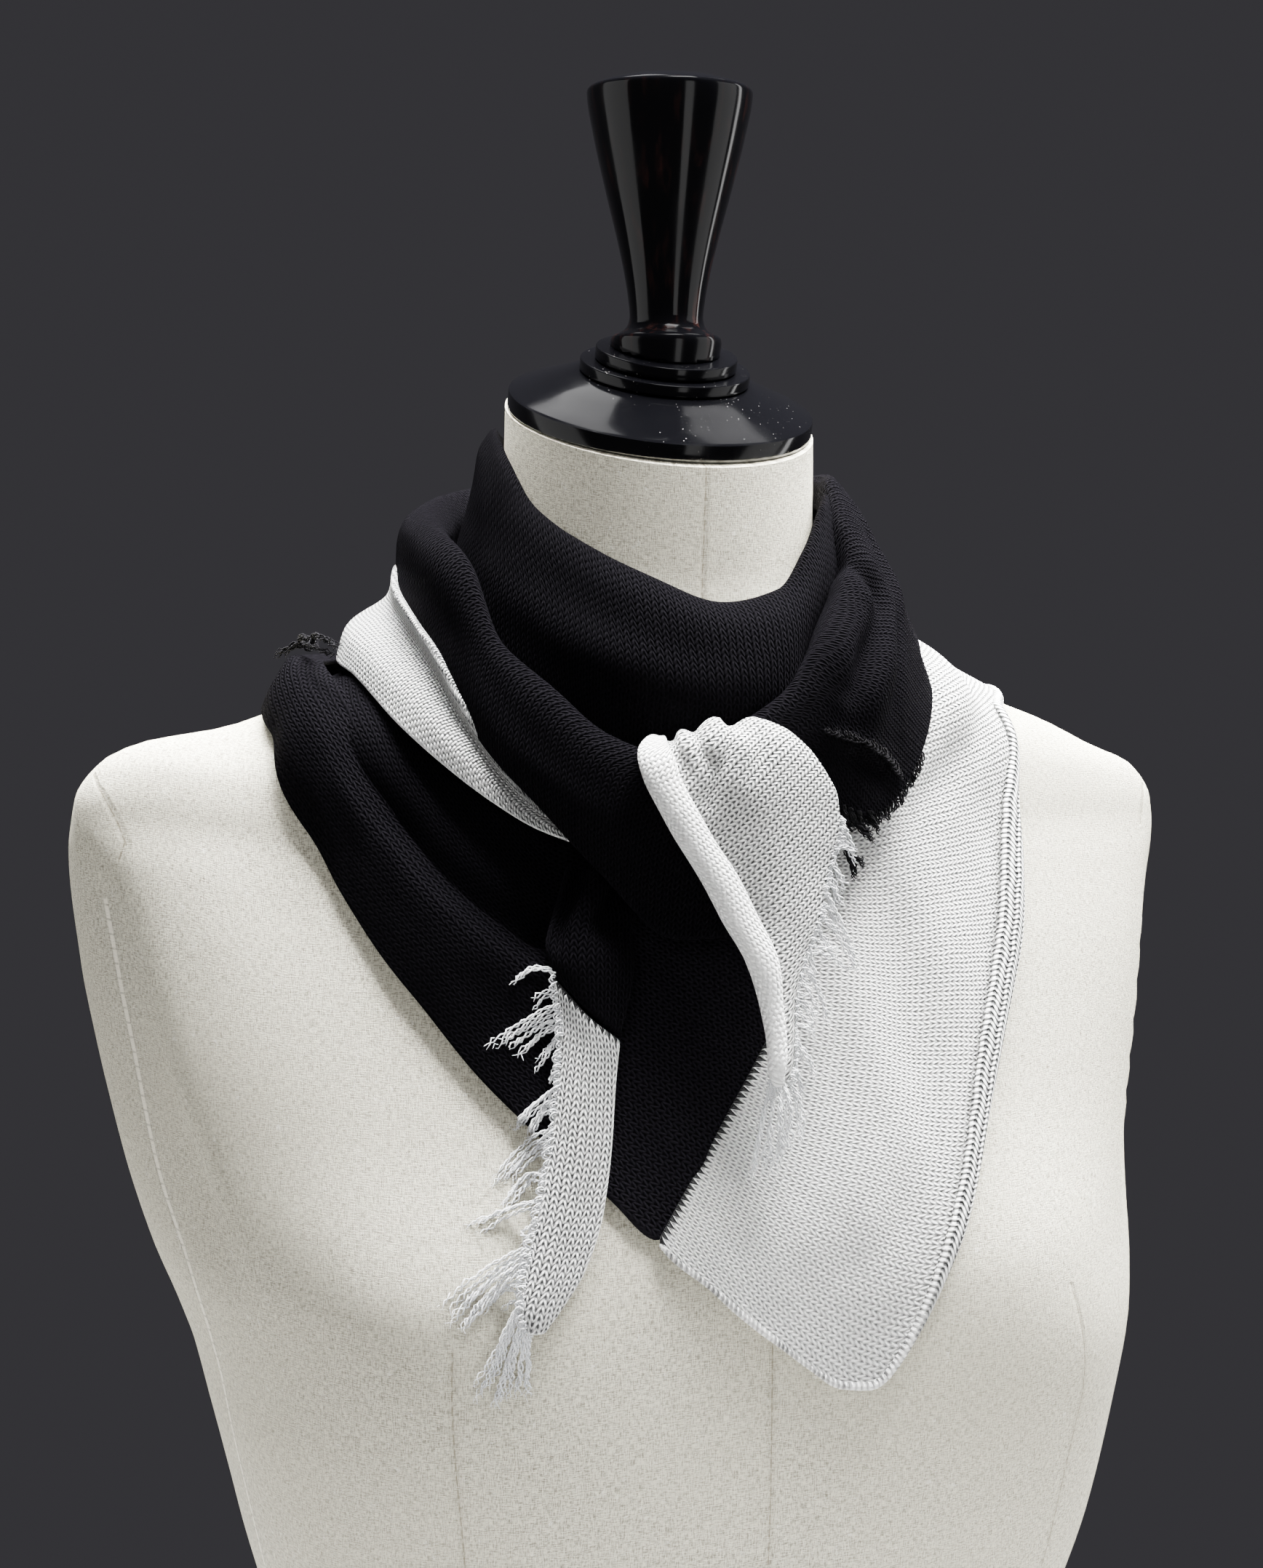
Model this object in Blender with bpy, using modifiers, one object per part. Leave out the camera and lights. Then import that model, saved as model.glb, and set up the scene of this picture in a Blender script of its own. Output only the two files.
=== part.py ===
"""A knitted cashmere neck scarf worn on a limbless dress form.

The form stands on its own flat underside at Z = 0, faces -Y and carries a slanted neck cap with
two step rings and an upright turned knob. The scarf is one triangular knitted cloth, wound once
round the neck: every stretch of it that shows is a wall of its own, worked out from sections
round the neck. Metres, +Z up.
"""
import math

import bmesh
import bpy
import numpy as np
from mathutils import Matrix, Vector

MM = 0.001
NECK_Y = 0.008            # the neck's upright axis lies this far behind the middle of the base
GAP = 0.0003              # between pieces that touch
WALL = 2.0 * MM           # thickness of the knitted cloth
CLEAR = 2.0               # the least that the cloth's middle stands off the form, millimetres

# The form's level sections, in millimetres. The squareness is the power of a superellipse:
# 2 is an ellipse, more is boxier, less is leaner.
FORM_COLUMNS = ("height", "half_width", "front", "back", "front_square", "back_square")
FORM_ROWS = (
    (0, 164, 100, 106, 2.3, 2.3),
    (50, 170, 104, 112, 2.3, 2.3),
    (130, 156, 102, 102, 2.4, 2.3),
    (215, 132, 98, 80, 2.5, 2.3),
    (300, 149, 106, 88, 2.9, 2.4),
    (340, 160, 108, 94, 2.7, 2.5),
    (393, 176, 108, 100, 2.2, 2.6),
    (450, 188, 96, 104, 2.0, 2.8),
    (490, 195, 83, 102, 1.8, 3.0),
    (518, 198, 72, 96, 1.6, 3.0),
    (536, 195, 65, 89, 1.5, 2.6),
    (549, 185, 61, 83, 1.5, 2.2),
    (558, 163, 59, 78, 1.6, 2.0),
    (568, 135, 57, 73, 1.7, 1.9),
    (579, 104, 55, 66, 1.8, 1.9),
    (588, 79, 54, 60, 1.9, 2.0),
    (602, 61, 53, 55, 2.0, 2.0),
    (622, 53, 52, 53, 2.0, 2.0),
    (664, 52, 52, 52, 2.0, 2.0),
)
BUST_AZIMUTH, BUST_HEIGHT, BUST_RISE = 42, 385, 14
BUST_SPREAD, BUST_TALL = 20, 50
FORM_AROUND = 60
FORM_BELOW_SHOULDER, FORM_SHOULDER_RINGS, FORM_NECK_RINGS = 18, 17, 4
SHOULDER_HEIGHT, NECK_BASE, NECK_TOP = 500, 604, 664

# Neck cap, step rings and knob. The cap slants down to the front, the knob stands upright.
CAP_SLANT = math.radians(17.5)
CAP_RADIUS, CAP_RIM, CAP_CHAMFER, CAP_FLAT = 51.5, 6.0, 8.5, 30.0
CAP_EASE = 0.6            # the turned edges of cap and rings are eased by this much
LOWER_RING_RADIUS, LOWER_RING_HEIGHT = 28.6, 4.0
UPPER_RING_RADIUS, UPPER_RING_HEIGHT = 23.8, 4.2
KNOB_FORWARD = 6.0
KNOB_TOP_HEIGHT = 777.0
TURNING_STEPS = 40
# Height above the slanted ring's middle, radius.
KNOB_PROFILE = (
    (86.5, 0.0), (86.1, 9.0), (84.9, 16.5), (83.0, 22.5), (81.4, 26.0), (80.4, 27.2), (78.6, 27.4),
    (67.0, 25.2), (49.0, 20.9), (31.0, 16.3), (22.0, 14.3), (14.0, 12.8), (8.0, 12.2), (5.0, 13.3),
    (2.5, 16.6), (0.5, 18.2), (-4.0, 18.2), (-8.0, 17.6), (-20.0, 17.0), (-20.0, 0.0),
)

# Wraps: a row for each section round the neck, at its azimuth (0 is the front, + is towards +X),
# with the height and the radius of each named point across the cloth.
# Columns: azimuth, inner, crest, slope, hem.
COWL_ROWS = (
    (-180, (650, 55.5), (655, 58.5), (638, 61), (615, 66)),
    (-140, (652, 55.5), (658, 58.5), (640, 61), (616, 66)),
    (-104, (656, 55.5), (664, 58), (646, 61), (622, 67)),
    (-78, (650, 55.5), (654, 59.5), (636, 66), (610, 72)),
    (-60, (632, 55.5), (638, 61.5), (617, 72), (594, 78)),
    (-42, (621, 56.5), (627, 64), (603, 76), (580, 80)),
    (-22, (611, 57), (617, 66), (592, 81), (567, 80)),
    (0, (602, 58), (608, 68), (587, 84), (568, 83)),
    (18, (606, 58), (612, 67), (591, 80), (572, 80)),
    (34, (618, 57), (624, 64), (603, 72), (582, 73)),
    (52, (628, 55.5), (634, 60.5), (616, 65), (596, 68)),
    (72, (632, 55.5), (638, 58), (620, 61), (602, 65)),
    (110, (644, 55.5), (650, 58), (634, 60.5), (612, 65)),
    (180, (650, 55.5), (655, 58.5), (638, 61), (615, 66)),
)
# Columns: azimuth, inner, crest, outer, hem.
WRAP_LEFT_ROWS = (
    (-179.6, (638, 68), (647, 72), (630, 83), (602, 92)),
    (-140, (634, 72), (643, 76), (626, 86), (604, 91)),
    (-104, (626, 73), (634, 77.5), (624, 85.5), (613, 87.5)),
    (-84, (622, 76), (630, 81), (620, 88), (609, 91)),
    (-66, (611, 80), (623, 85), (609, 92), (594, 93.5)),
    (-52, (586, 84), (596, 88), (581, 95), (565, 96)),
    (-40, (571, 85), (583, 89), (567, 97), (548, 98)),
    (-28, (556, 86), (569, 91), (554, 98), (528, 99.5)),
    (-14, (547, 88), (561, 93), (544, 98), (507, 97)),
    (-4, (545, 89), (556, 93), (540, 97), (507, 95)),
)
# Columns: azimuth, inner, crest, shoulder, outer, hem.
WRAP_RIGHT_ROWS = (
    (10, (578, 86), (580, 88), (577, 90.5), (573.5, 91), (569, 91)),
    (17, (586, 83), (589, 87), (581, 91), (571, 92.5), (558, 91)),
    (24, (595, 80), (599, 84), (588, 90.5), (573, 94), (543, 92)),
    (31, (604, 76), (610, 80), (597, 89), (577, 95), (541, 93)),
    (38, (614, 73), (621, 77), (606, 87), (584, 94), (550, 95)),
    (46, (622, 70), (630, 73), (615, 83), (592, 92), (560, 97)),
    (56, (631, 66), (639, 69), (623, 79), (602, 88), (574, 96)),
    (67, (640, 62.5), (648, 65), (632, 73), (612, 82), (590, 92)),
    (90, (642, 63), (650, 66), (636, 73), (618, 82), (599, 91)),
    (130, (638, 66), (647, 70), (632, 78), (618, 86), (602, 92)),
    (179.6, (638, 68), (647, 72), (638, 78), (622, 86.5), (602, 92)),
)
# Columns: azimuth, tucked, top, crest, hem.
WHITE_FOLD_ROWS = (
    (-138, (606, 81), (602, 85), (599, 88), (596, 90)),
    (-118, (608, 83), (603, 89), (597, 95), (591, 97)),
    (-100, (608, 83), (605, 92), (594, 106), (586, 107)),
    (-84, (603, 85), (601, 93), (591, 106), (584, 109)),
    (-66, (588, 87), (586, 95), (578, 105), (570, 109)),
    (-57, (572, 88), (571, 95), (565, 103), (558, 104.5)),
    (-49, (557, 88), (557, 94), (553, 99), (548, 100)),
    (-41, (546, 88), (545, 93), (543, 95), (540, 96)),
    (-34, (541, 87), (539, 89.5), (537, 91), (535.5, 92)),
)
# Columns: azimuth, tucked, top, scoop, hem.
INNER_BAND_ROWS = (
    (-96, (592, 88), (588, 95), (586, 98), (584.5, 100)),
    (-84, (589, 90), (585, 98), (583, 102), (581, 105)),
    (-72, (578, 93), (573, 103), (570, 108), (567.5, 112)),
    (-63, (568, 92), (560, 100), (555, 104), (551, 106.5)),
    (-54, (556, 89), (548, 95), (537, 98.5), (527.5, 102)),
    (-46, (546, 88), (540, 91.5), (528, 94), (517.5, 96.5)),
    (-38.4, (537, 86), (531, 89), (519, 90.5), (510, 92.5)),
)

# Panels laid on the form: the height of the place on the form under each named point, and how
# far the cloth stands off there, square to the form.
# Columns: azimuth, hem, lap, crest, inner.
BIB_BLACK_ROWS = (
    (-179.6, (560, 3.0), (567, 7), (576, 12), (582, 7)),
    (-150, (560, 3.0), (567, 7), (575, 12), (581, 7)),
    (-125, (562, 3.0), (567, 8), (573, 12), (577, 7)),
    (-104, (568, 3.0), (570, 9), (573.5, 13.5), (576, 9)),
    (-92, (569, 3.0), (571, 9), (574, 14), (576.5, 9.5)),
    (-80, (561, 3.8), (564, 8.5), (569, 13), (572.5, 8.5)),
    (-74, (542, 3.8), (551, 8), (562, 12.5), (566, 7)),
    (-67, (519, 3.0), (532, 7.5), (543, 13), (549, 6)),
    (-60, (500, 3.0), (514, 7), (526, 13), (531, 6)),
    (-53, (484, 3.0), (500, 6), (513, 12), (517, 6)),
    (-45.5, (467, 3.0), (486, 5), (503, 11.5), (507, 6)),
    (-38, (453, 3.0), (477, 4), (496, 10), (500, 6)),
    (-24, (429, 3.0), (467, 3.5), (500, 5), (520, 5)),
    (-15, (417, 3.0), (458, 3.5), (500, 5), (520, 5)),
    (-9, (443, 3.0), (468, 3.5), (500, 5), (520, 6)),
    (-4, (455, 3.0), (475, 3.5), (500, 6), (520, 7)),
    (4, (471, 3.0), (484, 5), (503, 7.5), (520, 8)),
    (9, (486, 7.5), (496, 8), (508, 8), (521, 8)),
)
# Columns: azimuth, hem, lap, rise, top.
BIB_WHITE_ROWS = (
    (-15, (413.4, 3.0), (414.1, 3.0), (414.8, 3.0), (415.5, 3.0)),
    (-9, (403, 3.0), (414, 3.0), (427, 3.0), (441.2, 3.0)),
    (-4, (394, 3.0), (413, 3.1), (433, 3), (453.4, 3.0)),
    (4, (381, 3.0), (409, 3), (438, 3), (469.4, 3.0)),
    (9, (373, 3.0), (409, 3), (446, 3), (484, 3.0)),
    (13.4, (367, 3.0), (411, 3), (455, 3.5), (520, 4)),
    (18.5, (366, 3.4), (415, 3.6), (470, 3.5), (534, 5)),
    (21.5, (374, 3.8), (425, 4.1), (480, 3.5), (538, 6)),
    (27.5, (400, 4.1), (440, 4.1), (490, 4), (546, 7)),
    (34, (422, 3.2), (455, 3.4), (505, 5), (556, 8)),
    (45, (459, 3), (485, 5), (525, 8), (568, 9)),
    (56, (492, 3.0), (512, 4), (542, 8), (578, 9)),
    (64, (514, 3.4), (532, 4), (556, 9), (582, 9)),
    (70, (537, 3.8), (549, 4), (564, 8), (583, 9)),
    (78, (562, 3.6), (568, 3.5), (575, 6), (584, 9)),
    (90, (568, 3.0), (572, 3.5), (577, 5), (584, 9)),
    (104, (568, 3.0), (571, 5), (577, 9), (585, 9)),
    (125, (563, 3.0), (569, 7), (578, 13), (586, 9)),
    (150, (560, 3.0), (568, 7), (580, 13), (588, 9)),
    (179.6, (560, 3.0), (568, 7), (580, 13), (588, 9)),
)

# Hanging ends: a row for each level, with the azimuth and the stand-off across the cloth.
# The level is the left side's height; the drop is how much lower the row is at its right side.
# Columns: level, drop, left, middle, right.
TAIL_LEFT_BLACK_ROWS = (
    (535, 0, (-35.6, 7), (-29, 9), (-22.0, 7)),
    (520, 4, (-36.2, 11), (-29, 15), (-21.8, 11)),
    (507, 10, (-36.6, 13), (-29, 18), (-21.6, 12)),
    (497.5, 21, (-34.6, 12), (-28.5, 15), (-22.6, 11)),
)
TAIL_LEFT_WHITE_ROWS = (
    (496, 21, (-34.6, 12), (-28.5, 15), (-22.6, 11)),
    (480, 14, (-33.4, 10), (-28, 13), (-22.8, 10)),
    (454, 6, (-33.2, 9), (-28, 12), (-23.0, 9)),
    (430, 0, (-33.4, 8), (-28.5, 10.5), (-23.6, 8.5)),
    (414, 0, (-33.8, 7), (-30, 9.5), (-25.6, 8)),
    (404, 0, (-33.6, 7), (-31, 9), (-28.2, 7.5)),
    (396, 0, (-32.8, 7), (-32.0, 7.5), (-31.2, 7)),
)
# Columns: level, drop, left, roll, middle, right.
TAIL_RIGHT_ROWS = (
    (571, 0, (-19.6, 98.5), (-15.0, 100), (-6, 98), (7, 97)),
    (564, 0, (-20.8, 102), (-16.5, 105), (-6, 101), (11, 98.5)),
    (553, 0, (-19.2, 103), (-14.5, 107), (0, 102), (16.4, 99)),
    (541, 0, (-15.7, 104), (-11.5, 108), (2, 103), (16.6, 100)),
    (528, 0, (-11.2, 105), (-7.4, 109), (3, 104), (13.8, 101)),
    (516, 0, (-7.6, 106), (-4.2, 110), (3, 105), (11.8, 103)),
    (503, 0, (-3.6, 108), (-1.0, 111.5), (3, 107), (8, 105)),
    (490, 0, (-1.2, 109), (1.0, 112), (3, 109), (5.6, 107)),
    (478, 0, (-0.1, 111), (1.4, 113), (3, 111), (5.0, 109)),
    (466, 0, (0.5, 112), (1.7, 113.5), (2.9, 112), (4.2, 111)),
)
# Fringes: the plain reach of the loose yarn beside each frayed edge.
FRINGE_LEFT_ROWS = (
    (494, 0, (-42.0, 14), (-39.0, 15.5), (-35.6, 14)),
    (482, 0, (-42.6, 10), (-39.0, 12), (-34.9, 11)),
    (466, 0, (-43.0, 8), (-38.4, 9.5), (-33.9, 8)),
    (440, 0, (-40.0, 7), (-37.0, 8.5), (-34.1, 7)),
    (412, 0, (-41.0, 6), (-37.6, 7.5), (-34.6, 6)),
    (394, 0, (-40.6, 6), (-37.2, 7.5), (-33.8, 6)),
    (373, 0, (-37.6, 6), (-35.4, 7), (-33.4, 6)),
)
FRINGE_RIGHT_ROWS = (
    (541, 0, (17.6, 99), (20.6, 98.5), (24.0, 97)),
    (519, 0, (13.4, 101), (17.4, 99.5), (21.6, 98)),
    (496, 0, (7.4, 105), (14.5, 103), (22.0, 102)),
    (480, 0, (5.8, 108), (9.0, 107), (13.0, 105)),
)
FRINGE_END_ROWS = (
    (464.5, 0, (0.3, 111), (2.2, 112), (4.2, 110.5)),
    (450, 0, (-0.6, 111), (1.6, 112), (3.8, 111)),
    (437, 0, (-1.2, 111), (1.0, 112), (3.4, 111)),
)
FRINGE_BLACK_RIGHT_ROWS = (
    (539, 0, (25.4, 93), (28, 94), (31.0, 93)),
    (528, 0, (26.5, 92), (28, 92.5), (29.6, 92)),
)
# Columns: azimuth, root, tip.
FRINGE_BLACK_LEFT_ROWS = (
    (-103, (592.5, 119), (596.5, 113)),
    (-95, (592.5, 118.5), (597, 112)),
    (-86, (590.5, 119), (594.5, 112)),
)

BLACK_YARN = (0.012, 0.011, 0.014)
WHITE_YARN = (0.86, 0.87, 0.88)
LINEN = (0.76, 0.72, 0.63)
LACQUER = (0.006, 0.005, 0.005)


def smooth_through(knots, values, at):
    """Read a smooth line through the knots without overshoot (shape-preserving cubic)."""
    knots = np.asarray(knots, float)
    values = np.asarray(values, float)
    at = np.clip(np.asarray(at, float), knots[0], knots[-1])
    step = np.diff(knots)
    slope = np.diff(values) / step
    tangent = np.zeros(len(knots))
    tangent[0], tangent[-1] = slope[0], slope[-1]
    for i in range(1, len(knots) - 1):
        if slope[i - 1] * slope[i] > 0:
            near, far = 2 * step[i] + step[i - 1], step[i] + 2 * step[i - 1]
            tangent[i] = (near + far) / (near / slope[i - 1] + far / slope[i])
    i = np.clip(np.searchsorted(knots, at) - 1, 0, len(knots) - 2)
    t = (at - knots[i]) / step[i]
    return ((2 * t**3 - 3 * t**2 + 1) * values[i] + (t**3 - 2 * t**2 + t) * step[i] * tangent[i]
            + (3 * t**2 - 2 * t**3) * values[i + 1] + (t**3 - t**2) * step[i] * tangent[i + 1])


def form_column(name, height):
    """One measure of the form's level section, at the heights given."""
    heights = [row[0] for row in FORM_ROWS]
    column = FORM_COLUMNS.index(name)
    return smooth_through(heights, [row[column] for row in FORM_ROWS], height)


def form_radius(azimuth, height):
    """How far the form's surface is from the neck's axis, in millimetres."""
    azimuth = (np.asarray(azimuth, float) + 180) % 360 - 180
    angle = np.radians(azimuth)
    ahead = np.cos(angle) > 0
    depth = np.where(ahead, form_column("front", height), form_column("back", height))
    power = np.where(ahead, form_column("front_square", height),
                     form_column("back_square", height))
    side = np.abs(np.sin(angle)) / form_column("half_width", height)
    radius = (side**power + (np.abs(np.cos(angle)) / depth)**power)**(-1 / power)
    low = np.exp(-((np.asarray(height) - BUST_HEIGHT) / BUST_TALL)**2)
    bust = (np.exp(-((azimuth - BUST_AZIMUTH) / BUST_SPREAD)**2)
            + np.exp(-((azimuth + BUST_AZIMUTH) / BUST_SPREAD)**2))
    return radius + BUST_RISE * low * bust


def seat_radius(azimuth, height, lift):
    """Radius of a point that stands off the form by the lift, square to its surface."""
    radius = form_radius(azimuth, height)
    rise = (form_radius(azimuth, height + 1) - form_radius(azimuth, height - 1)) / 2
    turn = (form_radius(azimuth + 1, height) - form_radius(azimuth - 1, height)) / 2
    turn = turn / (radius * math.radians(1))
    return radius + lift * np.sqrt(1 + rise**2 + turn**2)


def stand_off(azimuth, height, lift):
    """The place that stands off the form by the lift, square to its outline at this azimuth."""
    slope = (form_radius(azimuth, height + 1) - form_radius(azimuth, height - 1)) / 2
    steepness = np.sqrt(1 + slope**2)
    return height - lift * slope / steepness, form_radius(azimuth, height) + lift / steepness


def place(azimuth, height, radius):
    """Millimetres round the neck's axis to metres in the part's frame."""
    angle = np.radians(azimuth)
    return np.stack([MM * radius * np.sin(angle), NECK_Y - MM * radius * np.cos(angle),
                     MM * height + 0 * angle], axis=-1)


def across(section, count):
    """Spread count + 1 points along a smooth line through a section's named points."""
    section = np.asarray(section, float)
    run = np.concatenate([[0], np.cumsum(np.hypot(*np.diff(section, axis=0).T))])
    at = np.linspace(0, run[-1], count + 1)
    return [smooth_through(run, section[:, k], at) for k in range(2)]


def stations(azimuths, step):
    """Azimuths with every row's own among them, and at most a step apart."""
    spread = [azimuths[:1]]
    for start, end in zip(azimuths, azimuths[1:]):
        count = math.ceil((end - start) / step - 0.01)
        spread.append(np.linspace(start, end, count + 1)[1:])
    return np.concatenate(spread)


def wrap_grid(rows, step, wide, on_form=False):
    """Points of a stretch that runs round the neck, section by section."""
    azimuths = [row[0] for row in rows]
    grid = []
    for azimuth in stations(azimuths, step):
        section = []
        for k in range(1, len(rows[0])):
            height = smooth_through(azimuths, [row[k][0] for row in rows], azimuth)
            out = smooth_through(azimuths, [row[k][1] for row in rows], azimuth)
            if on_form:
                height, out = stand_off(azimuth, height, out)
            section.append((float(height), float(out)))
        heights, radii = across(section, wide)
        radii = np.maximum(radii, seat_radius(azimuth, heights, CLEAR))
        grid.append(place(azimuth + 0 * heights, heights, radii))
    return np.array(grid)


def hanging_grid(rows, down, wide, on_form=False):
    """Points of an end that hangs on the chest, level by level."""
    levels = [-row[0] for row in rows]
    grid = []
    for level in np.linspace(levels[0], levels[-1], down + 1):
        drop = float(smooth_through(levels, [row[1] for row in rows], level))
        azimuths, outs = [], []
        for k in range(2, len(rows[0])):
            azimuths.append(float(smooth_through(levels, [row[k][0] for row in rows], level)))
            outs.append(float(smooth_through(levels, [row[k][1] for row in rows], level)))
        at = np.linspace(azimuths[0], azimuths[-1], wide + 1)
        heights = -level - drop * np.linspace(0, 1, wide + 1)
        radii = smooth_through(azimuths, outs, at)
        if on_form:
            radii = seat_radius(at, heights, radii)
        grid.append(place(at, heights, radii))
    return np.array(grid)


def material(name, colour, roughness, metallic=0.0):
    made = bpy.data.materials.new(name)
    made.use_nodes = True
    shader = made.node_tree.nodes["Principled BSDF"]
    shader.inputs["Base Color"].default_value = (*colour, 1.0)
    shader.inputs["Roughness"].default_value = roughness
    shader.inputs["Metallic"].default_value = metallic
    made.diffuse_color = (*colour, 1.0)
    return made


def new_object(name, mesh, finish, home):
    made = bpy.data.objects.new(name, mesh)
    mesh.materials.append(finish)
    home.objects.link(made)
    return made


def cloth_wall(name, grid, colour, home, closed=False):
    """An open sheet through the grid's points, thickened to a wall of even thickness."""
    along, wide = grid.shape[:2]
    if closed:
        along -= 1
    mesh = bpy.data.meshes.new(name)
    shape = bmesh.new()
    verts = [[shape.verts.new(grid[i, j]) for j in range(wide)] for i in range(along)]
    for i in range(along if closed else along - 1):
        for j in range(wide - 1):
            after = (i + 1) % along
            shape.faces.new((verts[i][j], verts[after][j], verts[after][j + 1], verts[i][j + 1]))
    bmesh.ops.recalc_face_normals(shape, faces=shape.faces)
    shape.to_mesh(mesh)
    shape.free()
    mesh.shade_smooth()
    made = new_object(name, mesh, material(name, colour, 0.9), home)
    solid = made.modifiers.new("cloth thickness", "SOLIDIFY")
    solid.thickness = WALL
    solid.offset = 0.0
    return made


def build_form(home):
    """The torso and neck as one closed body, its neck cut to the cap's slant."""
    below = np.linspace(0, SHOULDER_HEIGHT, FORM_BELOW_SHOULDER, endpoint=False)
    shoulder = np.linspace(SHOULDER_HEIGHT, NECK_BASE, FORM_SHOULDER_RINGS)
    neck = np.linspace(NECK_BASE, NECK_TOP, FORM_NECK_RINGS)[1:]
    azimuth = np.arange(FORM_AROUND) * 360 / FORM_AROUND
    shape = bmesh.new()
    rings = []
    for height in np.concatenate([below, shoulder, neck]):
        points = place(azimuth, height, form_radius(azimuth, height))
        share = max(0.0, (height - NECK_BASE) / (NECK_TOP - NECK_BASE))
        points[:, 2] += share * math.tan(CAP_SLANT) * (points[:, 1] - NECK_Y)
        rings.append([shape.verts.new(point) for point in points])
    for low, high in zip(rings, rings[1:]):
        for i in range(FORM_AROUND):
            after = (i + 1) % FORM_AROUND
            shape.faces.new((low[i], low[after], high[after], high[i]))
    shape.faces.new(reversed(rings[0]))
    shape.faces.new(rings[-1])
    mesh = bpy.data.meshes.new("form_body")
    shape.to_mesh(mesh)
    shape.free()
    mesh.shade_smooth()
    mesh.set_sharp_from_angle(angle=math.radians(50))
    return new_object("form_body", mesh, material("form_body", LINEN, 0.85), home)


def turned(name, profile, finish, home):
    """A closed body turned from a profile of (height, radius), top to bottom, in millimetres."""
    mesh = bpy.data.meshes.new(name)
    shape = bmesh.new()
    verts = [shape.verts.new((MM * radius, 0, MM * height)) for height, radius in profile]
    for first, second in zip(verts, verts[1:]):
        shape.edges.new((first, second))
    shape.to_mesh(mesh)
    shape.free()
    made = new_object(name, mesh, finish, home)
    spin = made.modifiers.new("turning", "SCREW")
    spin.steps = spin.render_steps = TURNING_STEPS
    spin.use_merge_vertices = True
    spin.merge_threshold = 0.0001
    spin.use_smooth_shade = True
    return made


def on_slant(made, rise, seat):
    """Set a turned piece on the slanted neck, this far up the slant's own axis."""
    tilt = Matrix.Rotation(CAP_SLANT, 4, "X")
    made.matrix_world = Matrix.Translation(seat + tilt @ Vector((0, 0, MM * rise))) @ tilt


def build_cap(home, cutters):
    lacquer = material("black_lacquer", LACQUER, 0.12)
    seat = Vector((0, NECK_Y, MM * NECK_TOP))
    gap = GAP / MM
    rim_base = gap
    rim_top = rim_base + CAP_RIM
    cap_top = rim_top + CAP_CHAMFER
    cap = turned("neck_cap", (
        (cap_top, 0), (cap_top, CAP_FLAT), (rim_top, CAP_RADIUS - CAP_EASE),
        (rim_top - CAP_EASE, CAP_RADIUS), (rim_base + CAP_EASE, CAP_RADIUS),
        (rim_base, CAP_RADIUS - CAP_EASE), (rim_base, 0)), lacquer, home)
    on_slant(cap, 0, seat)
    lower_base = cap_top + gap
    lower_top = lower_base + LOWER_RING_HEIGHT
    lower = turned("cap_ring_lower", ring_profile(LOWER_RING_RADIUS, lower_base, lower_top),
                   lacquer, home)
    on_slant(lower, 0, seat)
    upper_base = lower_top + gap
    upper_top = upper_base + UPPER_RING_HEIGHT
    upper = turned("cap_ring_upper", ring_profile(UPPER_RING_RADIUS, upper_base, upper_top),
                   lacquer, home)
    on_slant(upper, 0, seat)
    knob = turned("cap_knob", KNOB_PROFILE, lacquer, home)
    knob_seat = MM * (KNOB_TOP_HEIGHT - KNOB_PROFILE[0][0])
    knob.matrix_world = Matrix.Translation((0, NECK_Y - MM * KNOB_FORWARD, knob_seat))
    trim_knob(knob, upper_top + gap, seat, cutters)


def ring_profile(radius, base, top):
    return ((top, 0), (top, radius - CAP_EASE), (top - CAP_EASE, radius),
            (base + CAP_EASE, radius), (base, radius - CAP_EASE), (base, 0))


def trim_knob(knob, rise, seat, cutters):
    """Cut the knob's foot to the slant of the ring that it stands on."""
    size, depth = 4 * MM * LOWER_RING_RADIUS, 0.05
    mesh = bpy.data.meshes.new("knob_foot_cutter")
    shape = bmesh.new()
    bmesh.ops.create_cube(shape, size=1.0)
    bmesh.ops.scale(shape, vec=(size, size, depth), verts=shape.verts)
    shape.to_mesh(mesh)
    shape.free()
    cutter = bpy.data.objects.new("knob_foot_cutter", mesh)
    cutter.hide_render = True
    cutter.display_type = "WIRE"
    cutters.objects.link(cutter)
    on_slant(cutter, rise - depth / 2 / MM, seat)
    cut = knob.modifiers.new("foot", "BOOLEAN")
    cut.operation = "DIFFERENCE"
    cut.object = cutter


def build_wraps(home):
    """The stretches that run round the neck, from the innermost out."""
    cloth_wall("scarf_cowl", wrap_grid(COWL_ROWS, 9, 6), BLACK_YARN, home, closed=True)
    cloth_wall("scarf_wrap_left", wrap_grid(WRAP_LEFT_ROWS, 7, 7), BLACK_YARN, home)
    cloth_wall("scarf_wrap_right", wrap_grid(WRAP_RIGHT_ROWS, 8, 8), BLACK_YARN, home)
    cloth_wall("scarf_white_fold", wrap_grid(WHITE_FOLD_ROWS, 7, 6), WHITE_YARN, home)
    cloth_wall("scarf_inner_band", wrap_grid(INNER_BAND_ROWS, 5, 5), BLACK_YARN, home)


def build_bib(home):
    """The point of the cloth on the chest, with its laps over both shoulders to the back."""
    black = wrap_grid(BIB_BLACK_ROWS, 6, 8, on_form=True)
    white = wrap_grid(BIB_WHITE_ROWS, 6, 8, on_form=True)
    cloth_wall("scarf_bib_black", black, BLACK_YARN, home)
    cloth_wall("scarf_bib_white", white, WHITE_YARN, home)


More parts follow.
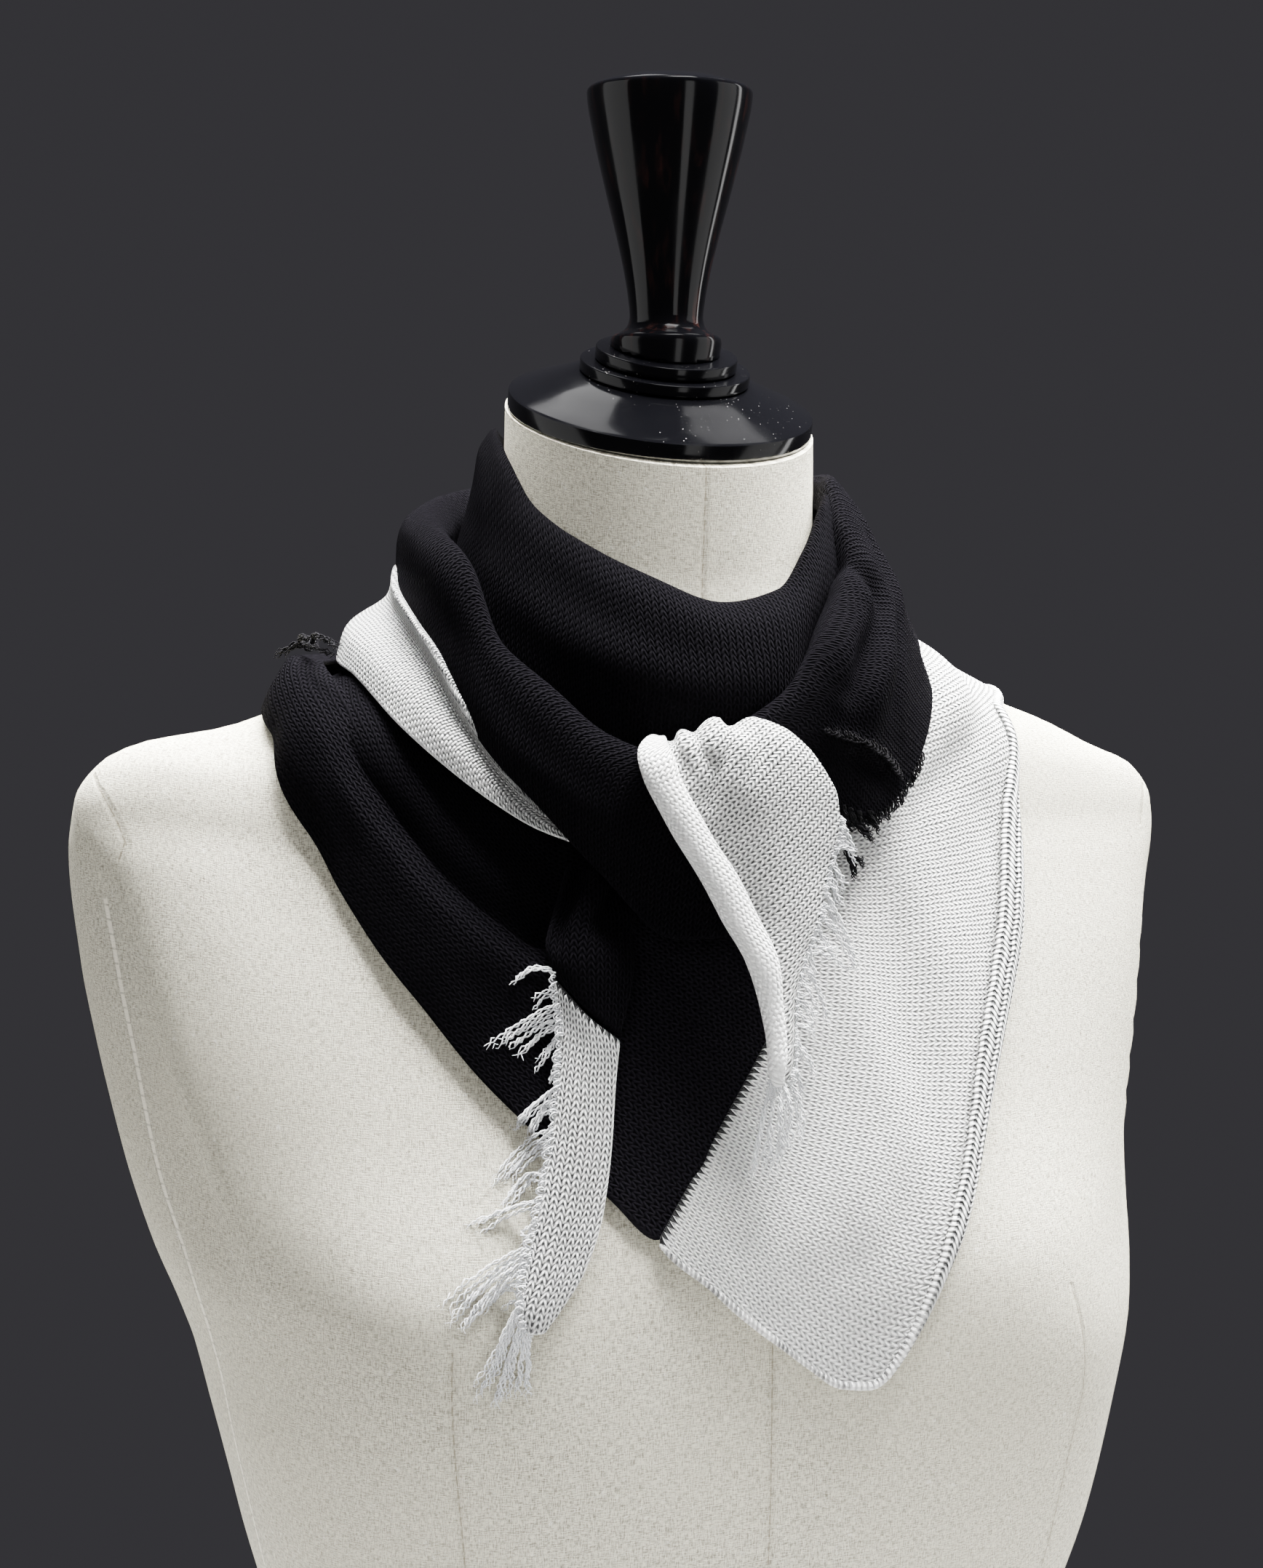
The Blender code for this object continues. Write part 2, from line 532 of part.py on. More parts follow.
def build_ends(home):
    """The two knotted ends that hang in front."""
    black = hanging_grid(TAIL_LEFT_BLACK_ROWS, 6, 5, on_form=True)
    white = hanging_grid(TAIL_LEFT_WHITE_ROWS, 12, 5, on_form=True)
    cloth_wall("scarf_tail_left_black", black, BLACK_YARN, home)
    cloth_wall("scarf_tail_left_white", white, WHITE_YARN, home)
    cloth_wall("scarf_tail_right", hanging_grid(TAIL_RIGHT_ROWS, 14, 8), WHITE_YARN, home)


def build_fringes(home):
    """A plain solid of the reach of each fringe."""
    left = hanging_grid(FRINGE_LEFT_ROWS, 10, 3, on_form=True)
    cloth_wall("fringe_left", left, WHITE_YARN, home)
    cloth_wall("fringe_right", hanging_grid(FRINGE_RIGHT_ROWS, 8, 3), WHITE_YARN, home)
    cloth_wall("fringe_end", hanging_grid(FRINGE_END_ROWS, 4, 3), WHITE_YARN, home)
    cloth_wall("fringe_black_right", hanging_grid(FRINGE_BLACK_RIGHT_ROWS, 2, 3), BLACK_YARN, home)
    cloth_wall("fringe_black_left", wrap_grid(FRINGE_BLACK_LEFT_ROWS, 5, 2), BLACK_YARN, home)


def main():
    for made in list(bpy.data.objects):
        bpy.data.objects.remove(made, do_unlink=True)
    home = bpy.data.collections.new("cashmere scarf on a dress form")
    cutters = bpy.data.collections.new("cutters")
    for collection in (home, cutters):
        bpy.context.scene.collection.children.link(collection)
    build_form(home)
    build_cap(home, cutters)
    build_wraps(home)
    build_bib(home)
    build_ends(home)
    build_fringes(home)


main()
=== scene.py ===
"""Looks of a knitted cashmere scarf worn on a linen dress form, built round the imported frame.

The tables are in millimetres and degrees: azimuth 0 is the front and + runs towards +X, round
the neck's upright axis. Everything that is made is in metres, in the frame's own axes.
"""
import math
import random

import bpy
import numpy as np
from mathutils import Matrix, Vector, noise


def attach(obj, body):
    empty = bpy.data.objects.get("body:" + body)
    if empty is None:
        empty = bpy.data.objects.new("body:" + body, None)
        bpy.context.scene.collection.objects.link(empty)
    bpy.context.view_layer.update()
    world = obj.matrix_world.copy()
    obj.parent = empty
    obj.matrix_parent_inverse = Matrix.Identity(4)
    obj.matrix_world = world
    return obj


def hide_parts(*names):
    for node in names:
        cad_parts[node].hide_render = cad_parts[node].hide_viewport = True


MM = 0.001
NECK_Y = 0.008            # the neck's upright axis lies this far behind the middle of the base
WALL = 2.0 * MM           # thickness of the knitted cloth
CLEAR = 2.0               # the least that the cloth's middle stands off the form, millimetres
# The form's level sections, in millimetres. The squareness is the power of a superellipse:
# 2 is an ellipse, more is boxier, less is leaner.
FORM_COLUMNS = ("height", "half_width", "front", "back", "front_square", "back_square")
FORM_ROWS = (
    (0, 164, 100, 106, 2.3, 2.3),
    (50, 170, 104, 112, 2.3, 2.3),
    (130, 156, 102, 102, 2.4, 2.3),
    (215, 132, 98, 80, 2.5, 2.3),
    (300, 150, 106, 88, 2.9, 2.3),
    (340, 159.5, 108, 94, 2.7, 2.3),
    (393, 173, 108, 100, 2.2, 2.4),
    (450, 185.5, 96, 104, 2.0, 2.7),
    (490, 193, 83, 102, 1.8, 2.9),
    (518, 196.5, 72, 96, 1.6, 3.0),
    (536, 194, 65, 89, 1.5, 2.6),
    (549, 185, 61, 83, 1.5, 2.2),
    (558, 163, 59, 78, 1.6, 2.0),
    (568, 135, 57, 73, 1.7, 1.9),
    (579, 104, 55, 66, 1.8, 1.9),
    (588, 79, 54, 60, 1.9, 2.0),
    (602, 61, 53, 55, 2.0, 2.0),
    (622, 53, 52, 53, 2.0, 2.0),
    (664, 52, 52, 52, 2.0, 2.0),
)
BUST_AZIMUTH, BUST_HEIGHT, BUST_RISE = 42, 385, 14
BUST_SPREAD, BUST_TALL = 20, 50
SHOULDER_HEIGHT, NECK_BASE, NECK_TOP = 500, 604, 667
# How far the trunk's sides sway to the right, between the azimuths below. Columns: height, sway.
SWAY_ROWS = ((150, 0), (250, 6.5), (338, 6.5), (359, 6.8), (378, 5.2), (397, 2.3), (425, 0.4),
             (450, 0))
SWAY_FROM, SWAY_FULL = 30, 62
# The flanks are hollow behind a ridge that runs down from the armhole. Columns: height, azimuth.
RIDGE_ROWS = ((393, 65.9), (425, 70.5), (457, 75.4), (487, 79.3), (517.5, 83.4), (552, 90))
HOLLOW_DEEP, HOLLOW_NEAR, HOLLOW_FAR = 4.5, 4, 18
HOLLOW_LOW, HOLLOW_HIGH = (385, 425), (505, 540)    # heights at which it comes and goes
# How much higher the left shoulder's end stands, and how much lower the right one's.
SHOULDER_UP, SHOULDER_DOWN = 5.3, 2.8

# Rings of the cover's skin up the trunk, over the shoulders and up the neck.
TRUNK_RINGS, SHOULDER_RINGS, NECK_RINGS = 90, 40, 20
FORM_LEVELS = TRUNK_RINGS + SHOULDER_RINGS + NECK_RINGS
FORM_SIDES = 200
END_RINGS, END_INSET = 6, 0.004       # rings across each end, and the outermost one's inset
FORM_CREASE = math.radians(50)        # edges turned more than this stay sharp
# The ends of the shoulders lie past these radii and above these heights.
SHOULDER_OUT, SHOULDER_ABOVE = (140, 175), (480, 520)
THREAD = 0.36 * MM        # pitch of the linen's threads
SLUBS = (380, 2600, 1), (2600, 380, 1)     # how fine their thick and thin stretches are, each way

# The cover's seams: each runs up the form between two heights, through (height, azimuth).
# Columns: name, lowest, highest, line, whether it is topstitched with pale thread.
CENTRE_SEAMS = (
    ("centre_front", 0, 680, ((0, 4.5), (385, 2.7), (600, -2.4), (664, -1.5)), False),
    ("centre_back", 0, 680, ((0, 180), (664, 180)), False),
)
DART_SEAMS = (
    ("dart_left", 0, 388, ((0, -43), (388, -42)), False),
    ("dart_right", 0, 388, ((0, 50), (307, 51.5), (345, 51.5), (361, 50.6), (388, 48)), False),
)
# The seams that both sides have alike, given for the right side.
PAIRED_SEAMS = (
    ("side", 0, 512, ((0, 76), (390, 77), (426, 81), (474, 84), (512, 86.8)), True),
    ("armhole", 526, 556, ((526, 84.5), (541, 87.8), (556, 97)), False),
)
SEAM_ROWS = CENTRE_SEAMS + tuple(
    (name + side, low, high, [(height, sign * azimuth) for height, azimuth in line], stitched)
    for name, low, high, line, stitched in PAIRED_SEAMS
    for side, sign in (("_left", -1), ("_right", 1))) + DART_SEAMS
DASH_PITCH = 4.6 * MM     # length of the seams' stitches
# How the threads show: the distances from the seam, in millimetres, between which they fade, and
# how the dashes between their ends do. The cover gathers a little beside every seam, with painted
# shade there.
TOPSTITCH_THREAD = (0.6, 1.1), (0.02, 0.12, 0.2, 1.0)
SEAM_THREAD = (0.10, 0.32), (0.10, 0.22, 0.35, 1.0)
SEAM_GATHER = (0.2, 1.8)

# Neck cap, step rings and knob. The cap slants down to the front, the knob stands upright.
CAP_SLANT = math.radians(17.5)
CAP_RADIUS, CAP_RIM, CAP_CHAMFER, CAP_FLAT = 51.5, 6.0, 8.5, 30.0
# The cap's outline by the edge of its flat top, and by its rim. Columns: higher, wider.
CAP_TOP_ROWS = ((0, -4), (0, -0.8), (-0.25, 0.5), (-3.4, 8.2))
CAP_RIM_ROWS = ((2.2, -6.3), (0.35, -1.3), (0.02, -0.7), (-0.25, -0.2), (-0.8, 0))
CAP_EASE, EASE_STEPS = 0.6, 4         # how far the turned edges are eased, and in how many steps
TURNED_GAP = 0.3          # between neighbours that are turned apart
TURNED_CREASE = math.radians(35)
CAP_SIDES, RING_SIDES, KNOB_SIDES = 160, 120, 128
# The step rings on the cap, from below. Columns: piece, node, radius, height.
RING_ROWS = (
    ("step_ring_lower", "cap_ring_lower", 28.6, 4.0),
    ("step_ring_upper", "cap_ring_upper", 23.8, 4.2),
)
KNOB_FORWARD = 6.0
KNOB_TOP_HEIGHT = 779.2
KNOB_RINGS = 90           # rings down the knob, besides those of its own rows
KNOB_FACE = 2.0           # radius of the small flat at its top's middle
KNOB_UNWORN = (8, 4)      # its worn streaks fade out between these depths under its top
# Columns: height above the slanted ring's middle, radius.
KNOB_PROFILE = (
    (86.5, 0.0), (86.1, 9.0), (85.0, 16.5), (83.5, 22.5), (82.4, 25.6), (81.7, 26.8),
    (81.0, 27.3), (80.2, 27.4), (78.6, 27.3), (67.0, 25.2), (49.0, 20.9), (31.0, 16.3),
    (22.0, 14.3), (14.0, 12.9), (8.0, 12.3), (5.5, 12.8), (3.6, 14.2), (2.4, 16.2), (1.8, 17.6),
    (0.9, 18.4), (-0.4, 18.6), (-3.0, 18.3), (-8.0, 17.2), (-12.0, 16.2), (-20.0, 15.4),
    (-20.0, 0.0),
)

# Wraps: a row for each section round the neck, with the height and the radius of each named point
# across the cloth.
# Columns: azimuth, inner, crest, brow, slope, hem.
COWL_ROWS = (
    (-180, (646, 54.5), (654, 57), (650, 61.5), (638, 63.5), (615, 67)),
    (-140, (648, 54.5), (657, 56.5), (652, 60.5), (640, 62.5), (616, 67)),
    (-104, (652, 54.2), (663, 55.3), (656, 60), (643, 62), (622, 67.5)),
    (-90, (650, 54.2), (659, 56), (651, 61), (640, 64), (616, 70)),
    (-78, (645, 54.5), (653, 58.5), (647, 62.5), (634, 67), (610, 72.5)),
    (-60, (630, 55.5), (638, 61), (633, 66.5), (617, 72.5), (594, 78)),
    (-42, (618, 56), (627, 63), (621, 70), (603, 77), (580, 80)),
    (-22, (607, 56.5), (617, 65), (611, 74), (590, 82), (556, 82)),
    (0, (599, 57), (608, 67), (603, 77), (585, 84.5), (552, 84)),
    (18, (603, 57), (612, 66), (607, 74), (589, 80.5), (556, 82)),
    (34, (616, 56.5), (626, 62.5), (621, 67.5), (603, 73), (574, 75)),
    (52, (630, 55), (640, 58.5), (634, 61.5), (618, 65), (596, 68)),
    (72, (636, 54.5), (646, 56.5), (639, 59), (624, 62), (602, 65)),
    (110, (641, 54.5), (649, 56.5), (644, 60), (634, 61.5), (612, 65)),
    (180, (646, 54.5), (654, 57), (650, 61.5), (638, 63.5), (615, 67)),
)
# Columns: azimuth, under, inner, crest, brow, outer, hem.
WRAP_LEFT_ROWS = (
    (-179.9, (628, 69.5), (638, 66), (647, 71), (643, 77), (630, 84), (602, 92)),
    (-140, (624, 70.5), (634, 70), (643, 75), (638, 81), (626, 86), (604, 91)),
    (-104, (618, 71), (628, 70), (636, 77), (632, 84.5), (624, 87), (613, 87.5)),
    (-84, (612, 74.5), (624, 75), (631, 81), (627, 86.5), (619, 89), (608, 91)),
    (-66, (600, 79), (612, 79), (622.5, 85), (618, 90), (608, 93), (594, 93.5)),
    (-52, (576, 82.5), (588, 82.5), (596, 88), (592, 92.5), (580, 96), (565, 96)),
    (-40, (562, 84), (573, 84), (583, 89.5), (579, 94), (567, 98), (548, 98)),
    (-28, (549, 85.5), (558, 85.5), (569, 91.5), (565, 96), (554, 99), (528, 99.5)),
    (-14, (541, 87), (549, 87.5), (561, 93.5), (557, 97), (544, 99), (507, 97)),
    (-4, (540, 88.5), (547, 89), (556, 93.5), (553, 96), (540, 97.5), (507, 95)),
)
# Columns: azimuth, inner, crest, brow, shoulder, outer, hem.
WRAP_RIGHT_ROWS = (
    (-7, (564, 86), (567, 88.5), (565.5, 90), (563, 91), (559, 91.2), (553, 91)),
    (3, (572, 85), (575.5, 88), (574, 90), (570, 91.5), (564, 92), (555, 91)),
    (10, (578, 83.5), (583, 87.5), (581, 90), (576, 92), (568, 93), (556, 91)),
    (15, (586, 81), (592, 86), (589, 90), (582, 92.5), (572, 93.5), (554, 91.5)),
    (20, (594, 79), (600, 84.5), (597, 89), (588, 92.5), (575, 94), (544, 92)),
    (26, (601, 75), (607, 81), (604, 86), (594, 90.5), (578, 95), (540.5, 93)),
    (32, (608, 71), (614, 77.5), (610, 83.5), (599, 89), (581, 95), (542, 93.5)),
    (38, (616, 67), (622, 73), (618, 79.5), (607, 85.5), (586, 93.5), (548, 95)),
    (46, (626, 61), (632, 66.5), (627, 73), (616, 80), (593, 89.5), (560, 96)),
    (56, (635, 56.5), (641, 60.5), (635, 67), (624, 74.5), (603, 85), (574, 95)),
    (67, (641, 55), (647.5, 57.5), (641, 63), (632, 69.5), (610, 80), (588, 89.5)),
    (90, (643, 57), (649, 60), (645, 65), (636, 70), (618, 80), (599, 90)),
    (130, (636, 62), (646, 67), (641, 73), (632, 77.5), (618, 86), (602, 92)),
    (179.9, (636, 66), (646, 70.5), (643, 75), (638, 78.5), (622, 86.5), (602, 92)),
)
# Columns: azimuth, tucked, top, crease, crest, hem.
WHITE_FOLD_ROWS = (
    (-138, (606, 81), (603, 84.5), (600.5, 86.5), (599, 88), (596, 90)),
    (-118, (609, 83), (610, 87.5), (602, 90), (597, 95), (591, 97)),
    (-100, (611, 83), (617, 88), (608, 90), (596, 104.5), (586, 107)),
    (-84, (604, 85), (610, 93.5), (602.5, 92), (592, 106), (584, 109)),
    (-66, (588, 87), (595, 97), (587, 94), (578, 105), (570, 109)),
    (-57, (572, 88), (578, 97.5), (571, 95), (565, 103), (558, 104.5)),
    (-49, (557, 88), (560, 95.5), (556, 94), (552.5, 98.5), (548, 100)),
    (-41, (546, 88), (546, 93), (544, 93.5), (542.5, 95), (540, 96)),
    (-34, (541, 87), (539.5, 89), (538, 90), (537, 91), (535.5, 92)),
)
# The pocket is the height of the place on the form that the band runs down to, behind the bib.
# Columns: azimuth, tucked, top, scoop, low, pocket.
INNER_BAND_ROWS = (
    (-96, (592, 88), (588, 95), (586, 98), (584.5, 100), (573, 2.6)),
    (-84, (589, 90), (585, 98), (583, 102), (581, 105), (569, 2.6)),
    (-72, (578, 93), (573, 103), (570, 108), (567.5, 112), (553, 2.6)),
    (-63, (568, 92), (560, 100), (555, 104), (551, 106.5), (529, 2.6)),
    (-54, (556, 89), (548, 95), (537, 98.5), (527.5, 102), (512, 2.6)),
    (-46, (546, 88), (540, 91.5), (528, 94), (517.5, 96.5), (501, 2.6)),
    (-38.4, (537, 86), (531, 89), (519, 90.5), (510, 92.5), (494, 2.6)),
    (-30, (531, 85), (526, 87), (517, 88.5), (511, 89.5), (496, 2.6)),
)

# Panels laid on the form: the height of the place on the form under each named point, and how
# far the cloth stands off there, square to the form.
# Columns: azimuth, hem, lap, crest, inner.
BIB_BLACK_ROWS = (
    (-179.9, (560, 3.0), (568, 7), (580, 13), (600, 11)),
    (-150, (560, 3.0), (568, 7), (579, 12), (598, 10)),
    (-125, (562, 3.0), (567, 8), (574, 12), (588, 8)),
    (-104, (568, 3.0), (570, 9), (573.5, 13.5), (576, 9)),
    (-92, (569, 3.0), (571, 9), (574, 14), (576.5, 9.5)),
    (-80, (561, 3.8), (564, 9.5), (569, 12.5), (573, 7.5)),
    (-74, (542, 3.8), (551, 9.5), (561, 12), (566.5, 6)),
    (-67, (519, 3.0), (531, 9), (541, 12), (549, 5)),
    (-60, (500, 3.0), (513, 8.5), (524, 11.8), (531, 5)),
    (-53, (484, 3.0), (499, 8), (511, 11), (517, 5)),
    (-45.5, (467, 3.0), (485, 6.5), (500, 10.2), (507, 5)),
    (-38, (453, 3.0), (476, 5), (494, 9), (500, 5.5)),
    (-24, (429, 3.0), (467, 3.5), (500, 5), (520, 5)),
    (-16.6, (416.6, 2.2), (458, 3.5), (500, 5), (520, 5)),
    (-13, (427, 2.2), (462, 3.5), (500, 5), (520, 5)),
    (-9, (437, 2.2), (468, 3.5), (500, 5), (520, 6)),
    (-4, (449, 2.2), (475, 3.5), (500, 6), (520, 7)),
    (4, (466, 2.2), (484, 4.4), (503, 7.5), (520, 8)),
    (9, (479, 2.4), (494, 5), (508, 8), (521, 8)),
)
# Columns: azimuth, hem, lap, rise, top.
BIB_WHITE_ROWS = (
    (-16.6, (415.4, 3.0), (416.2, 3.0), (417.0, 3.0), (417.8, 3.0)),
    (-13, (409, 3.0), (415, 3.0), (422, 3.0), (429.2, 3.0)),
    (-9, (403, 3.0), (414, 3.0), (427, 3.0), (440.5, 3.0)),
    (-4, (394, 3.0), (413, 3.1), (433, 3), (453.4, 3.0)),
    (4, (381, 3.0), (409, 3), (438, 3), (472.0, 3.0)),
    (9, (373, 3.0), (409, 3), (446, 3), (484, 3.0)),
    (13.4, (367, 3.0), (411, 3), (455, 3.5), (520, 4)),
    (18.5, (366, 3.4), (415, 3.6), (470, 3.5), (534, 5)),
    (21.5, (374, 3.8), (425, 4.1), (480, 3.5), (538, 6)),
    (27.5, (400, 4.1), (440, 4.1), (490, 4), (546, 7)),
    (34, (422, 3.2), (455, 3.4), (505, 5), (556, 8)),
    (45, (459, 3), (485, 5), (525, 8), (568, 9)),
    (56, (492, 3.0), (512, 4), (542, 8), (578, 9)),
    (64, (520, 2.4), (535, 4), (557, 8), (582, 9)),
    (70, (545, 2.4), (554, 4), (567, 7), (583, 9)),
    (78, (567, 2.4), (571, 3.5), (577, 6), (584, 9)),
    (90, (571, 2.2), (574, 3.5), (578, 5), (584, 9)),
    (104, (570, 2.4), (573, 5), (578, 9), (588, 9)),
    (125, (563, 3.0), (569, 7), (578, 13), (596, 10)),
    (150, (560, 3.0), (568, 7), (580, 13), (600, 11)),
    (179.9, (560, 3.0), (568, 7), (580, 13), (600, 11)),
)

# Hanging ends: a row for each level, with the azimuth and the stand-off across the cloth.
# The level is the left side's height; the drop is how much lower the row is at its right side.
# Columns: level, drop, left, middle, right.
TAIL_LEFT_BLACK_ROWS = (
    (535, 0, (-35.6, 7), (-29, 9), (-22.0, 7)),
    (520, 4, (-36.2, 11), (-29, 15), (-21.8, 11)),
    (507, 10, (-36.6, 13), (-29, 18), (-21.6, 12)),
    (497.5, 19, (-34.6, 12), (-28.8, 15), (-23.4, 11)),
)
TAIL_LEFT_WHITE_ROWS = (
    (496.5, 19, (-34.6, 12), (-28.8, 15), (-23.4, 11)),
    (480, 13, (-32.8, 10), (-28, 13), (-23.7, 10)),
    (454, 6, (-32.4, 9), (-28, 12), (-24.0, 9)),
    (430, 0, (-33.0, 8), (-28.8, 10.5), (-24.6, 8.5)),
    (414, 0, (-33.8, 7), (-30, 9.5), (-26.4, 8)),
    (404, 0, (-33.8, 7), (-31.2, 9), (-28.8, 7.5)),
    (396, 0, (-32.8, 7), (-32.0, 7.5), (-31.2, 7)),
)
# Columns: level, drop, left, beside, middle, right.
TAIL_RIGHT_ROWS = (
    (568.0, 0, (-19.6, 88), (-13.0, 89), (-5, 90), (6.4, 86)),
    (566.4, 0, (-20.6, 93), (-13.6, 95), (-5, 95.5), (8.6, 91)),
    (563.5, 0, (-21.3, 97.5), (-14.4, 97.4), (-5, 99.5), (10.8, 95)),
    (558, 0, (-20.6, 101), (-13.6, 99), (-4, 101.5), (13.6, 98)),
    (550, 0, (-18.4, 103), (-11.8, 100), (0, 102.5), (16.2, 99.5)),
    (541, 0, (-15.7, 104), (-9.5, 100.6), (2, 103), (16.6, 100)),
    (528, 0, (-11.2, 105), (-5.4, 102), (3, 104), (13.8, 101)),
    (516, 0, (-7.6, 106), (-2.2, 103.4), (3, 105), (11.8, 103)),
    (503, 0, (-3.6, 108), (0.0, 107), (3, 107), (8, 105)),
    (490, 0, (-1.2, 109), (1.4, 108.6), (3, 109), (5.6, 107)),
    (478, 0, (-0.1, 111), (1.8, 110.6), (3, 111), (5.0, 109)),
    (471, 0, (0.2, 112), (1.9, 111.6), (3.0, 112), (4.8, 110)),
    (467, 0, (0.8, 112), (2.0, 111.6), (3.0, 112), (4.2, 111)),
    (464.5, 0, (1.7, 112), (2.2, 111.8), (2.8, 112), (3.3, 111.5)),
)
# How far the gathered top rises above its left end. Columns: share of the width, rise.
TAIL_CROWN_ROWS = ((0, 1.0), (0.10, 0.2), (0.18, 3.2), (0.28, 3.6), (0.48, 7.2), (0.60, 4.6),
                   (0.76, 7.0), (0.92, 5.4), (1, 2.0))
CROWN_FADE = 16           # how far down the gathers of the top reach
# How far the end's left edge is rolled over. Columns: level, half the roll's width, half its depth.
TAIL_ROLL_ROWS = ((568, 2.6, 1.6), (566, 4.2, 2.6), (562, 5.4, 3.4), (545, 5.6, 3.6),
                  (530, 5.6, 3.5), (505, 4.8, 3.0), (490, 3.2, 2.3), (471, 2.0, 1.5),
                  (464.5, 0.5, 0.5))
# How far the bib's lower edge is rolled over. Columns: azimuth, half the roll's size.
BIB_ROLL_ROWS = ((-16.6, 0.3), (15, 0.4), (22, 0.8), (30, 2.2), (45, 4.4), (58, 5.0), (66, 3.9),
                 (71, 2.0), (84, 1.1), (104, 0.9), (179.9, 0.8))
CURL_WIDE, CURL_HIGH = 1.4, 0.72       # half its width and half its depth, to that size
ROLL_POINTS, ROLL_TURN = 7, 280        # points round a roll, and degrees that it turns
ROLL_CALM_TOP, ROLL_CALM_FOOT = 0.55, 0.8      # how far felting hides the hanging roll's stitches
CHAIN_OPENED = 1.4        # how far the stitches of the bib's roll gape; in loose cloth it is 1
CHAIN_WALE, CHAIN_COURSE = 0.45, 1.1   # how much closer its stitches are, across and along it
HANG_RADIUS, CHEST_HEIGHT = 105, 470   # where distances over the chest are measured
CHEST_UP, CHEST_OUT = 0.85, 0.55       # how far height and standing out count up and down it
UNEVEN, UNEVEN_SPAN = 0.5, 34.0        # how far the cloth wanders in and out, and over what span
FOLD_STEPS = 40           # places along a fold's line at which the distance to it is taken
# Soft folds in the cloth, along lines of (azimuth, height).
# Columns: piece, depth (less than 0 is a ridge), width, line.
FOLDS = (
    ("cowl", 4.0, 7, ((35, 608), (24, 597), (16, 586))),
    ("cowl", 2.5, 6, ((36, 597), (30, 582))),
    ("cowl", -2.0, 9, ((-30, 590), (-8, 582), (14, 585))),
    ("cowl", 1.6, 9, ((-66, 634), (-40, 612), (-14, 594), (6, 588))),
    ("cowl", -1.2, 7, ((-62, 616), (-38, 597), (-18, 586))),
    ("wrap_left", 1.6, 6, ((-92, 620), (-66, 606), (-46, 575), (-30, 556))),
    ("wrap_left", -1.4, 7, ((-70, 602), (-50, 572), (-34, 552), (-22, 540))),
    ("wrap_right", 4.2, 4.5, ((41, 630), (38, 621), (41, 611), (36, 602), (28, 592), (22, 582))),
    ("wrap_right", -2.4, 5, ((66, 637), (56, 613), (38, 600), (28, 580), (26, 568))),
    ("wrap_right", 2.4, 3.5, ((60, 628), (50, 610), (40, 592), (34, 574))),
    ("wrap_right", -1.8, 4, ((28, 603), (22, 593), (19, 580))),
    ("wrap_right", 2.6, 2.8, ((23, 561), (28, 557), (32, 553.5))),
    ("wrap_right", -1.4, 2.4, ((18, 568), (24, 566), (30, 561.5), (36, 556))),
    ("bib_white", -2.6, 6, ((82, 592), (72, 582), (60, 566), (50, 551))),
    ("bib_white", 2.2, 6, ((74, 573), (64, 560), (54, 547), (43, 533))),
    ("inner_band", -4.0, 7, ((-84, 580), (-72, 565), (-63, 549), (-54, 531), (-46, 519),
                             (-38, 512))),
    ("bib_white", -1.6, 8, ((20, 520), (24, 480), (26, 440))),
    ("bib_white", 1.2, 9, ((34, 540), (36, 500), (33, 450), (28, 415))),
    ("bib_black", -1.5, 8, ((-30, 500), (-20, 470), (-12, 440))),
    ("bib_black", 1.3, 8, ((-20, 505), (-8, 480), (0, 476))),
    ("tail_right", 2.2, 2.6, ((-16.2, 572), (-14.6, 566), (-12.4, 558))),
    ("tail_right", 2.6, 2.4, ((-11.6, 574), (-10.4, 567), (-9.0, 560))),
    ("tail_right", 3.0, 2.6, ((-4.4, 575), (-5.4, 568), (-7.6, 558), (-9.0, 550))),
    ("tail_right", 1.4, 2.6, ((1.0, 575), (0.2, 567), (-2.0, 558))),
    ("tail_left_black", -4.2, 4, ((-26.4, 531), (-29.4, 522), (-32, 513))),
    ("tail_left_black", 4.4, 3.6, ((-31, 530), (-33.5, 518), (-34.5, 508))),
    ("tail_left_black", 3.0, 3, ((-29, 512), (-22, 507))),
    ("tail_left_black", 2.6, 2.6, ((-23.5, 530), (-26.5, 520), (-27.5, 513))),
    ("tail_left_white", 1.2, 5, ((-29, 485), (-27, 460), (-28, 430), (-31, 405))),
)
